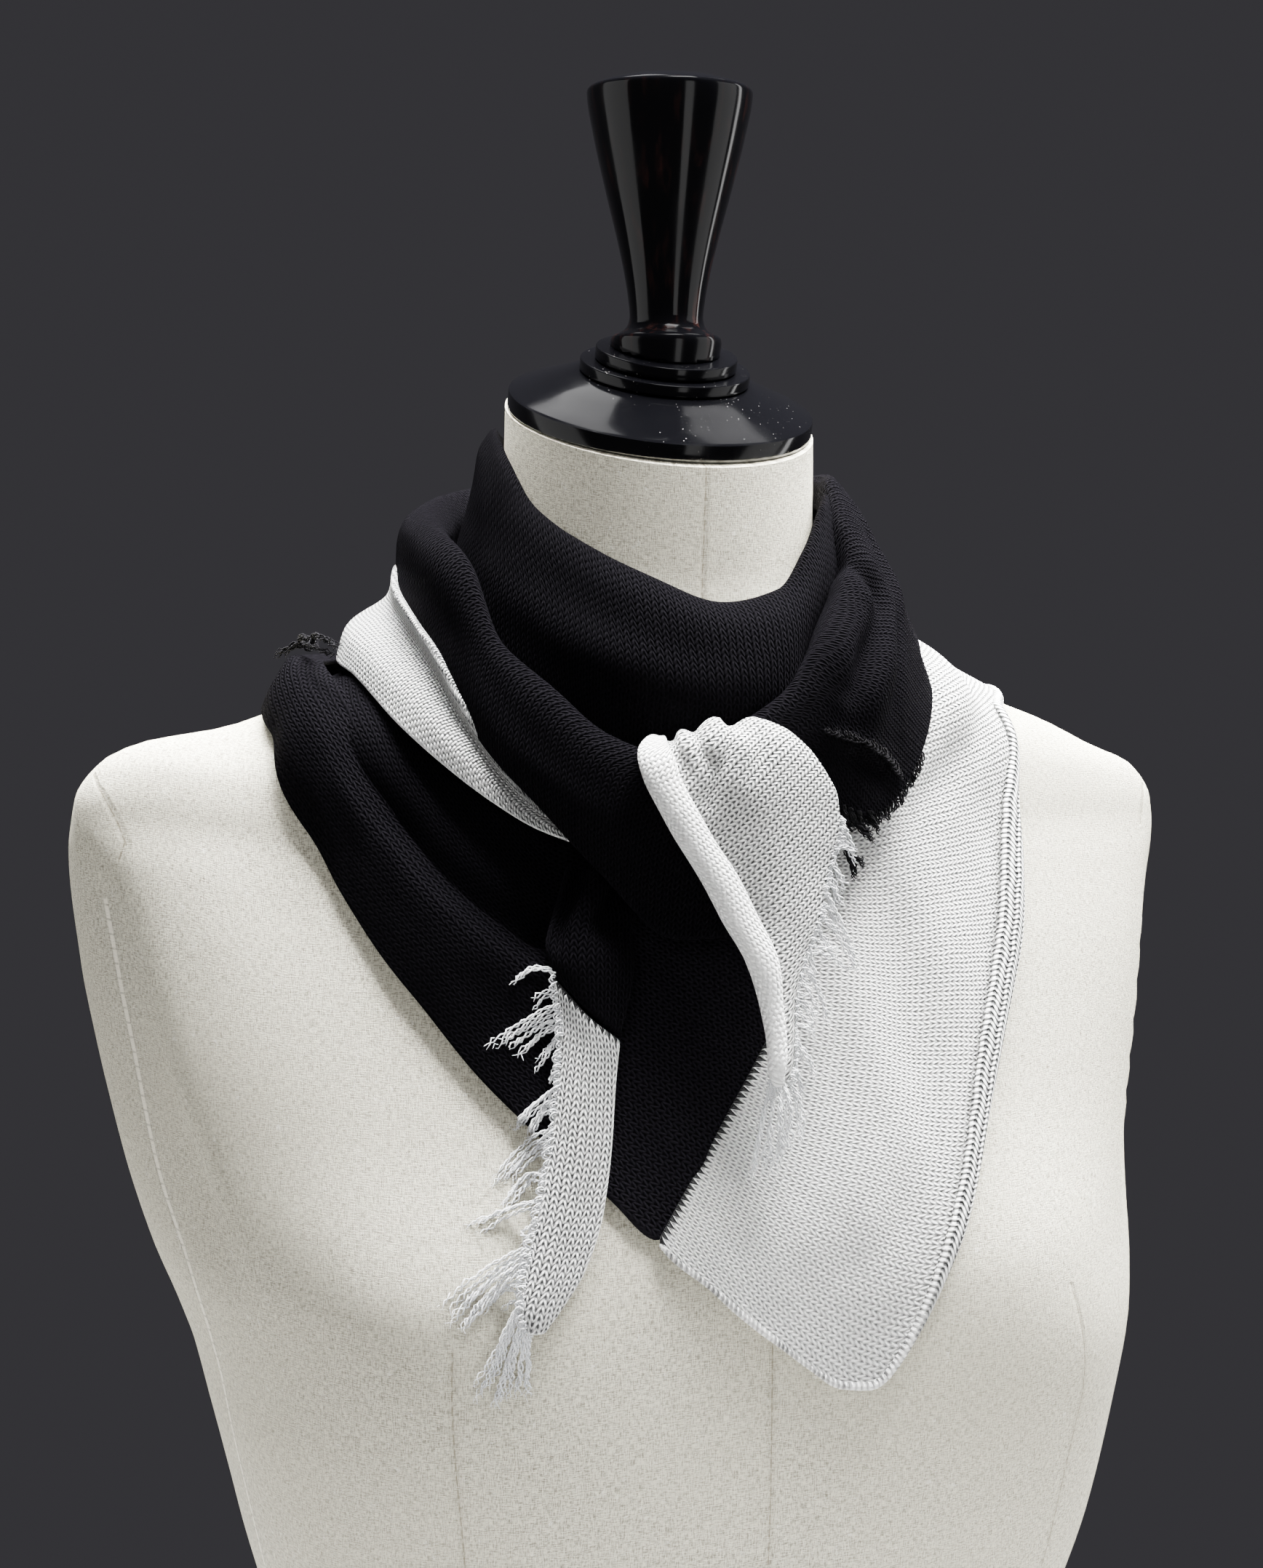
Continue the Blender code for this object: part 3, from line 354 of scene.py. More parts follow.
# Loose yarns at the frayed edges. The root is a height on the edge; the reach is how far the tip
# lies away from the cloth and the fall how far it lies below the root; the arch lifts the yarn
# between them.
# Columns: root, reach, fall, arch, yarns.
LOOSE_LEFT_ROWS = (
    (497.5, 12, 3, 2.5, 2), (493, 7.5, 4.3, 0.5, 1), (490.5, 8.5, 4.5, 1.5, 1),
    (488.5, 19, 13, 0.5, 2), (486.5, 16, 11.5, 1, 1), (484.5, 14, 10, 1, 2),
    (482.5, 12, 9.5, 1.5, 2), (480.5, 7, 9, -1, 2), (482, 8.5, 15, -2, 1),
    (467, 9, 19, -1, 2), (465, 13.5, 14, 0.5, 2), (462, 12, 12, 0.5, 1),
    (458.5, 10, 9.5, 2, 2), (453, 17, 17, 2, 2), (450, 16, 13.5, 1, 2), (447.5, 13, 10.5, 1.5, 2),
    (444.5, 13, 17, 0, 1), (438, 15, 9, 5, 2), (436.5, 12, 7.5, 4, 1), (433, 20.5, 9.5, 1, 2),
    (431.5, 17, 9, 0.5, 1), (427, 5.5, 8, 0, 1), (420, 23, 20, 2, 3), (418, 19.5, 21, 2, 3),
    (416, 17.5, 20, 1, 2), (410.5, 14, 10.5, 2.5, 2), (407, 11, 5.5, 2.5, 1),
    (405, 8.5, 3, 1, 1), (408.5, 13.5, 32, -3, 3), (406, 10, 26, -2, 2), (400.5, 10, 29, 1, 3),
    (399, 6.5, 24, 2.5, 2), (397.5, 5, 23, 1, 2), (396.5, 2, 21, 1.5, 2), (396, 2.5, 17, 0.5, 1),
)
LOOSE_RIGHT_ROWS = (
    (541, 6, 7, 1, 1), (538, 7.5, 9, 1.5, 2), (534.5, 7, 3, 1, 1), (531, 6, 10, 0.5, 2),
    (528, 4.5, 12, 1, 2), (525, 8, 8, 0.5, 1), (521.5, 5, 13, 2, 2), (518, 11, 14, 2, 1),
    (515, 14.5, 19, 1.5, 2), (511, 7, 8, 0.5, 1), (507.5, 12, 10, 2, 1), (504.5, 12, 3, 0.6, 2),
    (501, 10, 21, 2, 2), (497, 7, 13, 1, 1), (491, 8.3, 9, 1, 2), (487, 8, 10.5, 2, 1),
    (482, 7, 5, 1, 1), (477, 8.8, 12, 2.5, 2), (472, 4, 12, 1, 2),
)
# Loops of yarn pulled out of the edges. The lean is from straight down, + away from the cloth.
# Columns: root, length, width, lean, yarns.
LOOP_LEFT_ROWS = ((476, 12, 2.6, 8, 2), (452, 5, 2.4, 60, 1), (425, 6, 2.2, 70, 1),
                  (412, 5, 2.6, 50, 1))
LOOP_RIGHT_ROWS = ((542, 11, 3.2, 32, 1), (521, 5.5, 3.4, 30, 1), (517, 24, 9, 31, 1),
                   (503.5, 10, 4, 14, 2), (494, 6, 3, 60, 1), (479, 8, 4, 20, 1))
# The yarns at the end of the hanging tip and at the black cloth's raw corners.
# Columns: fringe, yarns, then the azimuth, height and radius of the root, middle and tip.
TIP_ROWS = (
    ("fringe_end", 2, (1.2, 468, 111), (-0.6, 453, 112.5), (-2.4, 434, 111.5)),
    ("fringe_end", 2, (1.7, 468, 111), (0.8, 452, 113.5), (-0.2, 438, 113)),
    ("fringe_end", 3, (2.2, 468, 111), (2.2, 454, 114.5), (2.4, 439, 114)),
    ("fringe_end", 2, (2.6, 468, 111), (4.0, 456, 114), (3.6, 443, 113)),
    ("fringe_end", 2, (3.2, 468, 110), (5.6, 457, 112.5), (6.4, 446, 112)),
    ("fringe_black_right", 5, (24.5, 544, 93.5), (26, 539, 94), (29.4, 534.6, 94)),
    ("fringe_black_right", 4, (22.4, 545, 92.5), (24.2, 540, 94), (27.8, 537.0, 94)),
    ("fringe_black_right", 3, (27.5, 543.5, 94), (29.0, 540, 95), (30.8, 536.8, 94)),
    ("fringe_black_right", 3, (20.8, 546, 92), (22.0, 541, 93), (24.8, 536.4, 93.5)),
    ("fringe_black_right", 4, (22.6, 531.5, 92.5), (23.8, 527.5, 93.5), (25.2, 523.2, 93)),
    ("fringe_black_right", 3, (22.9, 531, 92.5), (24.8, 528.6, 93.5), (26.8, 527.2, 93)),
    ("fringe_black_left", 5, (-97, 589, 117), (-98.5, 590.5, 121), (-99.5, 586, 127)),
    ("fringe_black_left", 3, (-99, 591, 120), (-94, 593.5, 121), (-86, 592.5, 119)),
    ("fringe_black_left", 3, (-90, 592, 118), (-83, 596, 120), (-76, 593.5, 118)),
    ("fringe_black_left", 2, (-88, 591, 119), (-82, 592.5, 121), (-76, 590.5, 119)),
)
# The knobby tuck in the right wrap, and where that wrap's lower edge is ragged. The line is of
# (azimuth, height).
TUCK_LINE = ((15, 570.5), (20, 568.4), (25, 565.5), (30, 561.6), (34, 557.2), (37.5, 552))
RAGGED_FROM, RAGGED_TO = 16, 47

# The yarns themselves: plies in each, a twist's length, a ply's half thickness, a yarn's.
PLIES, TWIST, PLY, YARN = 2, 5.5 * MM, 0.27 * MM, 0.6 * MM
PLIES_APART = 0.72        # how far from the yarn's middle they run, to its half thickness
CRINKLE, CRINKLE_SIZE, YARN_STEP = 3.2 * MM, 0.55 * MM, 1.1 * MM
STRAY_ROOT, STRAY_TIP = 0.1, 1.1       # how far a loose yarn's plies stray at its root and tip
TAPER, TAPER_FROM = 0.7, 0.75          # how much thinner its tip is, and where that starts
ASKEW = (0.31, 0.22, 0.92)             # a direction that no yarn runs in
LEFT, RIGHT = -1, 1                    # the side on which the cloth ends
YARNS_APART, LOOPS_APART = 0.9, 0.8    # yarns and loops of one row leave the edge this far apart
REACH_SPREAD, FALL_SPREAD = (0.86, 1.08), (0.92, 1.08)    # how much they differ by chance
FALL_STRAY, ARCH_STRAY = 0.8, 0.5
LOOP_LOOSE = 0.1          # how far the plies of a loop part; at a loose tip it is 1
KNOB_TILT, KNOB_LONG, KNOB_WIDE = 25, (1.3, 2.4), (1.4, 2.2)     # small loops along an edge
REACH_OUT = 0.3           # the cloth behind a yarn is looked for from this far out, in metres
UPWARD = np.array([0, 0, MM])

# How each piece of cloth is knitted. The grain is the angle of its wales to the way round the
# neck, or across a hanging end; the fan is how far away they would meet.
# Columns: grain, fan, whether the purl side is out.
KNITTED = {
    "cowl": (90, 0, 0),
    "wrap_left": (78, 0, 0),
    "wrap_right": (60, 0, 0),
    "white_fold": (0, 0, 1),
    "inner_band": (12, 0, 0),
    "bib_black": (-32, 0, 0),
    "bib_white": (-22, 320, 0),
    "tail_left_black": (5, 0, 0),
    "tail_left_white": (0, 0, 0),
    "tail_right": (123, 0, 0),
}
# Colours: red, green and blue, linear. A gap colour is painted shade: the dark that falls between
# stitches or threads.
WHITE, WHITE_GAP_SHADE = (0.92, 0.915, 0.895), (0.035, 0.035, 0.036)
BLACK, BLACK_GAP_SHADE = (0.0034, 0.0030, 0.0039), (0.0002, 0.0002, 0.0003)
BLACK_SHEEN = (0.55, 0.53, 0.62)
YARN_WHITE, YARN_SHADE = (0.97, 0.975, 0.985), (0.26, 0.27, 0.29)
LINEN, LINEN_GAP_SHADE = (0.77, 0.74, 0.60), (0.18, 0.16, 0.12)
LINEN_STAIN, LINEN_NUB = (0.60, 0.56, 0.43), (0.86, 0.84, 0.76)
SEAM_FOLD_SHADE, SEAM_STITCH, TOPSTITCH = (0.34, 0.30, 0.23), (0.20, 0.165, 0.11), (0.95, 0.90, 0.76)
LACQUER, LACQUER_WORN, DUST = (0.0010, 0.0010, 0.0013), (0.014, 0.005, 0.004), (0.35, 0.34, 0.32)
FLOOR = (0.62, 0.62, 0.61)
ROOM, ROOM_STRENGTH = (0.91, 0.88, 1.0), 0.045
WALE, COURSE = 2.6 * MM, 2.1 * MM     # the pitch of the stitches, across and along the wales
BORDER_REACH = 10 * MM    # how far below the bib's colour border its measure fades to nothing
SHORT_REACH = 4 * MM      # the same below the colour border of the left hanging end
BORDER_END = 11           # azimuth past which the bib's top edge is no colour border
FRAY_TOP = 545            # the hanging end's right edge is frayed below this height
PAINTED_LIGHT_GAIN = 2.5               # painted light: how much lighter the bib's black is drawn than the wraps'
PAINTED_LIGHT_FROM, PAINTED_LIGHT_FULL = -45, -25   # azimuths between which that painted light on the bib's black grows
HOLE_SHADE = 0.62         # painted shade: how much darker the small holes between the stitches are drawn
TOOTH = 6.0 * MM          # how deep the colour border's zigzag is, measured upright
WORN = 0.93               # the share of its lightness that the knitting keeps in worn patches
LEG_SLANT = 1.0           # courses that a stitch's leg climbs across half a wale
STITCH_SWAY = 1.0 * MM    # how far the stitches stray from their even rows

# The lights, all turned to one point.
# Columns: name, place, width, height, power, whether polished pieces mirror it.
LIGHT_ROWS = (
    ("overhead", (0.3, 0.3, 1.95), 1.5, 1.2, 1100, False),
    ("window_right", (1.5, -1.5, 1.6), 1.4, 1.4, 22, False),
    ("window_left", (-1.3, -2.1, 1.4), 1.9, 1.9, 38, False),
    ("panel_left", (-1.35, 0.25, 0.6), 1.1, 1.7, 4.0, True),
    ("panel_right", (1.35, -0.55, 0.6), 0.9, 1.7, 3.6, True),
    ("strip_right", (1.35, 0.10, 0.7), 0.14, 1.6, 2.4, True),
    ("panel_front", (0.35, -2.3, 0.3), 0.5, 1.8, 2.6, True),
    ("ceiling_lamp", (0.15, -0.45, 2.3), 0.7, 0.4, 5.0, True),
    ("ceiling_left", (-0.03, 0.75, 2.3), 0.5, 1.0, 3.0, True),
    ("ceiling_right", (0.8, 0.45, 2.3), 0.5, 0.6, 1.1, True),
)
LIGHT_AIM = Vector((0, 0, 0.52))
FLOOR_RADIUS, FLOOR_BELOW = 0.45, 0.0006
# The camera's way of looking, the point on the neck's axis that it looks past, and its place.
CAMERA_AZIMUTH, CAMERA_PITCH, CAMERA_ROLL = (math.radians(turn) for turn in (-18, 7, 0.8))
CAMERA_AIM = Vector((0, NECK_Y, 0.640))
CAMERA_BACK, CAMERA_LEFT = 0.790, 0.0076
CAMERA_LENS, CAMERA_SENSOR = 53.07, 36


def smooth_through(knots, values, at):
    """Read a smooth line through the knots without overshoot (shape-preserving cubic)."""
    knots = np.asarray(knots, float)
    values = np.asarray(values, float)
    at = np.clip(np.asarray(at, float), knots[0], knots[-1])
    step = np.diff(knots)
    slope = np.diff(values) / step
    tangent = np.zeros(len(knots))
    tangent[0], tangent[-1] = slope[0], slope[-1]
    for i in range(1, len(knots) - 1):
        if slope[i - 1] * slope[i] > 0:
            near, far = 2 * step[i] + step[i - 1], step[i] + 2 * step[i - 1]
            tangent[i] = (near + far) / (near / slope[i - 1] + far / slope[i])
    i = np.clip(np.searchsorted(knots, at) - 1, 0, len(knots) - 2)
    t = (at - knots[i]) / step[i]
    return ((2 * t**3 - 3 * t**2 + 1) * values[i] + (t**3 - 2 * t**2 + t) * step[i] * tangent[i]
            + (3 * t**2 - 2 * t**3) * values[i + 1] + (t**3 - t**2) * step[i] * tangent[i + 1])


def read(rows, at, column=1, part=None):
    """A table's column, or one part of its pairs, read smoothly against the first column."""
    values = [row[column] if part is None else row[column][part] for row in rows]
    return smooth_through([row[0] for row in rows], values, at)


def eased_step(value, low, high):
    """0 below low, 1 above high, and a soft step between them."""
    share = np.clip((np.asarray(value, float) - low) / (high - low), 0, 1)
    return share * share * (3 - 2 * share)


def form_column(name, height):
    """One measure of the form's level section, at the heights given."""
    return read(FORM_ROWS, height, FORM_COLUMNS.index(name))


def form_radius(azimuth, height):
    """How far the form's surface is from the neck's axis, in millimetres."""
    azimuth = (np.asarray(azimuth, float) + 180) % 360 - 180
    angle = np.radians(azimuth)
    ahead = np.cos(angle) > 0
    depth = np.where(ahead, form_column("front", height), form_column("back", height))
    power = np.where(ahead, form_column("front_square", height),
                     form_column("back_square", height))
    sideways = np.abs(np.sin(angle)) / form_column("half_width", height)
    radius = (sideways**power + (np.abs(np.cos(angle)) / depth)**power)**(-1 / power)
    low = np.exp(-((np.asarray(height) - BUST_HEIGHT) / BUST_TALL)**2)
    bust = (np.exp(-((azimuth - BUST_AZIMUTH) / BUST_SPREAD)**2)
            + np.exp(-((azimuth + BUST_AZIMUTH) / BUST_SPREAD)**2))
    on_side = eased_step(np.abs(azimuth), SWAY_FROM, SWAY_FULL)
    past = np.abs(azimuth) - read(RIDGE_ROWS, height)
    hollow = HOLLOW_DEEP * (eased_step(past, 0, HOLLOW_NEAR)
                            * (1 - eased_step(past, HOLLOW_NEAR, HOLLOW_FAR))
                            * eased_step(height, *HOLLOW_LOW)
                            * (1 - eased_step(height, *HOLLOW_HIGH)))
    return (radius + BUST_RISE * low * bust + read(SWAY_ROWS, height) * on_side * np.sin(angle)
            - hollow)


def seat_radius(azimuth, height, lift):
    """Radius of a point that stands off the form by the lift, square to its surface."""
    radius = form_radius(azimuth, height)
    rise = (form_radius(azimuth, height + 1) - form_radius(azimuth, height - 1)) / 2
    turn = (form_radius(azimuth + 1, height) - form_radius(azimuth - 1, height)) / 2
    turn = turn / (radius * math.radians(1))
    return radius + lift * np.sqrt(1 + rise**2 + turn**2)


def stand_off(azimuth, height, lift):
    """The place that stands off the form by the lift, square to its outline at this azimuth."""
    slope = (form_radius(azimuth, height + 1) - form_radius(azimuth, height - 1)) / 2
    steepness = np.sqrt(1 + slope**2)
    return height - lift * slope / steepness, form_radius(azimuth, height) + lift / steepness


def place(azimuth, height, radius):
    """Millimetres round the neck's axis to metres in the frame."""
    angle = np.radians(azimuth)
    return np.stack([MM * radius * np.sin(angle), NECK_Y - MM * radius * np.cos(angle),
                     MM * height + 0 * angle], axis=-1)


def across(section, count):
    """Spread count + 1 points along a smooth line through a section's named points."""
    section = np.asarray(section, float)
    run = np.concatenate([[0], np.cumsum(np.hypot(*np.diff(section, axis=0).T))])
    at = np.linspace(0, run[-1], count + 1)
    return [smooth_through(run, section[:, k], at) for k in range(2)]


def stations(azimuths, step):
    """Azimuths with every row's own among them, and at most a step apart."""
    spread = [azimuths[:1]]
    for start, end in zip(azimuths, azimuths[1:]):
        count = math.ceil((end - start) / step - 0.01)
        spread.append(np.linspace(start, end, count + 1)[1:])
    return np.concatenate(spread)


def rolled(section, deep, high):
    """Points that roll a section's first edge outwards, deep and high being the roll's halves."""
    first, second = np.array(section[0], float), np.array(section[1], float)
    outward_edge = (first - second) / np.linalg.norm(first - second)
    upward = np.array([-outward_edge[1], outward_edge[0]])
    if upward[1] < 0:
        upward = -upward
    seat = first - outward_edge * deep
    angles = np.radians(np.linspace(ROLL_TURN, 0, ROLL_POINTS + 1))
    return [seat + upward * high * (1 - math.cos(angle)) + outward_edge * deep * math.sin(angle)
            for angle in angles]


def with_edge(edge, values, part):
    """The values across a section, with that part of its rolled edge's points before them."""
    return np.concatenate([[point[part] for point in edge], values])


def wrap_grid(rows, step, wide, seated=(), roll=()):
    """Points of a stretch that runs round the neck, section by section. The columns numbered in
    seated lie on the form; the roll's rows give the size of a rolled hem."""
    places = stations([row[0] for row in rows], step)
    columns = []
    for k in range(1, len(rows[0])):
        high, out = read(rows, places, k, 0), read(rows, places, k, 1)
        columns.append(stand_off(places, high, out) if k in seated else (high, out))
    grid = []
    for i, azimuth in enumerate(places):
        section = [(high[i], out[i]) for high, out in columns]
        edge = []
        if roll:
            size = read(roll, azimuth)
            edge = rolled(section, CURL_WIDE * size, CURL_HIGH * size)
            section[0] = tuple(edge.pop())
        level, radii = across(section, wide)
        radii = np.maximum(radii, seat_radius(azimuth, level, CLEAR))
        level, radii = with_edge(edge, level, 0), with_edge(edge, radii, 1)
        grid.append(place(azimuth + 0 * level, level, radii))
    return np.array(grid)


def downwards(rows):
    """A hanging end's rows with depths, which grow from row to row, in place of their levels."""
    return [(-row[0], *row[1:]) for row in rows]


def hanging_grid(rows, down, wide, on_form=False, roll=(), crown=((0, 0), (1, 0))):
    """Points of an end that hangs on the chest, level by level. The crown's rows give how far the
    top rises at each share of its width."""
    rows, roll = downwards(rows), downwards(roll)
    top, foot = rows[0][0], rows[-1][0]
    degree = math.radians(1) * HANG_RADIUS
    grid = []
    for depth in np.linspace(top, foot, down + 1):
        section = [(float(read(rows, depth, k, 0)) * degree, float(read(rows, depth, k, 1)))
                   for k in range(2, len(rows[0]))]
        edge = []
        if roll:
            edge = rolled(section, float(read(roll, depth, 1)), float(read(roll, depth, 2)))
            section[0] = tuple(edge.pop())
        sideways, out = across(section, wide)
        sideways, out = with_edge(edge, sideways, 0), with_edge(edge, out, 1)
        left = sideways[len(edge)]
        share = np.clip((sideways - left) / (sideways[-1] - left), 0, 1)
        heights = -depth - float(read(rows, depth)) * share
        heights += read(crown, share) * max(0, 1 - (depth - top) / CROWN_FADE)**1.5
        azimuths = sideways / degree
        if on_form:
            out = seat_radius(azimuths, heights, out)
        grid.append(place(azimuths, heights, out))
    return np.array(grid)


def cylinder(grid):
    """The grid's points as azimuths, heights and radii, in degrees and millimetres."""
    x, y, z = np.moveaxis(grid, 2, 0)
    return np.degrees(np.arctan2(x, NECK_Y - y)), z / MM, np.hypot(x, y - NECK_Y) / MM


def outward(grid):
    """Unit vectors square to the sheet, pointing away from the neck."""
    square = np.cross(np.gradient(grid, axis=0), np.gradient(grid, axis=1))
    square /= np.maximum(np.linalg.norm(square, axis=2, keepdims=True), 1e-12)
    away = grid - np.array([0, NECK_Y, 0])
    away[:, :, 2] = 0
    facing = np.sign(np.mean(np.sum(square * away, axis=2)))
    return square * facing


def folded(name, grid):
    """Press the piece's soft troughs into the sheet and lift its ridges."""
    azimuths, heights, radii = cylinder(grid)
    shift = np.zeros(azimuths.shape)
    for owner, depth, width, line in FOLDS:
        if owner != name:
            continue
        line = np.array(line, float)
        run = np.linspace(0, len(line) - 1, FOLD_STEPS)
        knots = np.arange(len(line))
        line_turn = smooth_through(knots, line[:, 0], run)
        line_high = smooth_through(knots, line[:, 1], run)
        apart = np.hypot(np.radians(azimuths[..., None] - line_turn) * radii[..., None],
                         heights[..., None] - line_high)
        nearest = np.argmin(apart, axis=2)
        apart = np.min(apart, axis=2)
        fade = np.sin(math.pi * (0.08 + 0.84 * nearest / (FOLD_STEPS - 1)))**0.5
        shift -= depth * fade * np.exp(-(apart / width)**2)
    return grid + outward(grid) * (MM * shift[..., None])


def uneven(grid, seed):
    """Let the sheet wander a little, as soft cloth does."""
    span = UNEVEN_SPAN
    shift = np.array([[noise.noise(Vector(point) / (span * MM) + Vector((seed, 0, 0)))
                       + 0.35 * noise.noise(Vector(point) / (0.3 * span * MM)
                                            + Vector((0, seed, 0)))
                       for point in line] for line in grid])
    return grid + outward(grid) * (MM * UNEVEN * shift[..., None])


def deselect():
    """An operator acts on all that is selected, so each piece starts from nothing."""
    bpy.ops.object.select_all(action="DESELECT")


def select(piece):
    """Make the piece the only one that operators act on."""
    deselect()
    bpy.context.view_layer.objects.active = piece
    piece.select_set(True)


def corner_points(piece):
    """The number of the point at each corner of the piece's faces."""
    corners = np.empty(len(piece.data.loops), int)
    piece.data.loops.foreach_get("vertex_index", corners)
    return corners


def lay_out(piece, name, places):
    """Name the piece's UV map and fill it with a place for each corner."""
    piece.data.uv_layers[0].name = name
    piece.data.uv_layers[0].data.foreach_set("uv", places.reshape(-1))


def dress(piece, finish, node):
    """Give the piece its finish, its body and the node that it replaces."""
    piece.data.materials.append(finish)
    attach(piece, "root")
    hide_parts(node)
    return piece


def apply_modifier(piece, name, kind, **settings):
    """Put a modifier on the piece and make its result the piece's own mesh."""
    select(piece)
    modifier = piece.modifiers.new(name, kind)
    for setting, value in settings.items():
        setattr(modifier, setting, value)
    bpy.ops.object.modifier_apply(modifier=modifier.name)


def edit_all(piece, *steps):
    """Run edit-mode operators over the whole of a piece's mesh."""
    select(piece)
    bpy.ops.object.mode_set(mode="EDIT")
    bpy.ops.mesh.select_all(action="SELECT")
    for step in steps:
        step()
    bpy.ops.object.mode_set(mode="OBJECT")


def set_measure(piece, name, values):
    """Write one number for each point of the mesh, for its material to read."""
    measure = piece.data.attributes.new(name, "FLOAT", "POINT")
    measure.data.foreach_set("value", np.asarray(values, np.float32).reshape(-1))


def join_doubles():
    """Merge what lies in one place."""
    bpy.ops.mesh.remove_doubles(threshold=0.00002)


def face_out():
    """Turn every face outwards."""
    bpy.ops.mesh.normals_make_consistent(inside=False)


def run_along(grid, axis, start):
    """Distance along the grid's lines from the line numbered start."""
    steps = np.linalg.norm(np.diff(grid, axis=axis), axis=2)
    run = np.cumsum(steps, axis=axis)
    run = np.insert(run, 0, 0, axis=axis)
    return run - np.take(run, [start], axis=axis)


def wale_measure(grid, grain, fan, chest):
    """Each point's distance across the wales and along them, in metres. On the chest the cloth is
    measured from the front at the azimuth given, elsewhere along the sheet's own lines."""
    along, wide = grid.shape[:2]
    if chest is None:
        round_neck = run_along(grid, 0, along // 2)
        upward = run_along(grid, 1, wide // 2)
    else:
        azimuths, heights, radii = cylinder(grid)
        round_neck = np.radians(azimuths - chest) * radii * MM
        upward = (CHEST_UP * (heights - CHEST_HEIGHT) - CHEST_OUT * (radii - HANG_RADIUS)) * MM
    turn = math.radians(grain)
    reach = round_neck * math.cos(turn) + upward * math.sin(turn)
    side = upward * math.cos(turn) - round_neck * math.sin(turn)
    if fan:
        reach, side = (np.hypot(side, fan * MM + reach) - fan * MM,
                       fan * MM * np.arctan2(side, fan * MM + reach))
    return side, reach


def cloth_sheet(name, grid, finish, measures=(), chest=None, chain=False):
    """A wall of knitted cloth through the grid's points, its stitches measured in its UV map. With
    a chain, the stitches of its rolled edge run along the roll."""
    grain, fan, purl = KNITTED[name]
    along, wide = grid.shape[:2]
    grid = uneven(folded(name, grid), len(name) + grain)
    deselect()
    bpy.ops.mesh.primitive_grid_add(x_subdivisions=wide - 1, y_subdivisions=along - 1, size=1)
    piece = bpy.context.object
    piece.name = piece.data.name = "knit_" + name
    piece.data.vertices.foreach_set("co", grid.reshape(-1))
    stitches = np.stack(wale_measure(grid, grain, fan, chest), axis=-1).reshape(-1, 2)
    corners = corner_points(piece)
    laid_out = stitches[corners]
    if chain:
        across_roll = CHAIN_WALE * run_along(grid, 1, 0)
        along_roll = CHAIN_COURSE * run_along(grid, 0, 0)
        chained = np.stack([across_roll, along_roll], axis=-1).reshape(-1, 2)
        on_roll = np.repeat((corners % wide).reshape(-1, 4).min(axis=1) < ROLL_POINTS, 4)
        laid_out[on_roll] = chained[corners][on_roll]
    lay_out(piece, "stitches", laid_out)
    calm = np.zeros((along, wide))
    calm[0] = calm[-1] = calm[:, -1] = 1
    calm[:, 0] = not chain
    worn = dict(purl_side=np.full((along, wide), float(purl)), calm=calm)
    worn.update(measures)
    for label, values in worn.items():
        set_measure(piece, label, values)
    edit_all(piece, join_doubles, face_out)
    apply_modifier(piece, "cloth thickness", "SOLIDIFY", thickness=WALL, offset=0.0)
    apply_modifier(piece, "softness", "SUBSURF", levels=1, render_levels=1)
    bpy.ops.object.shade_smooth()
    return dress(piece, finish, "scarf_" + name)


def opaque(colour):
    """A colour of three numbers with its fourth; a socket stays as it is."""
    return (*colour, 1) if isinstance(colour, tuple) else colour


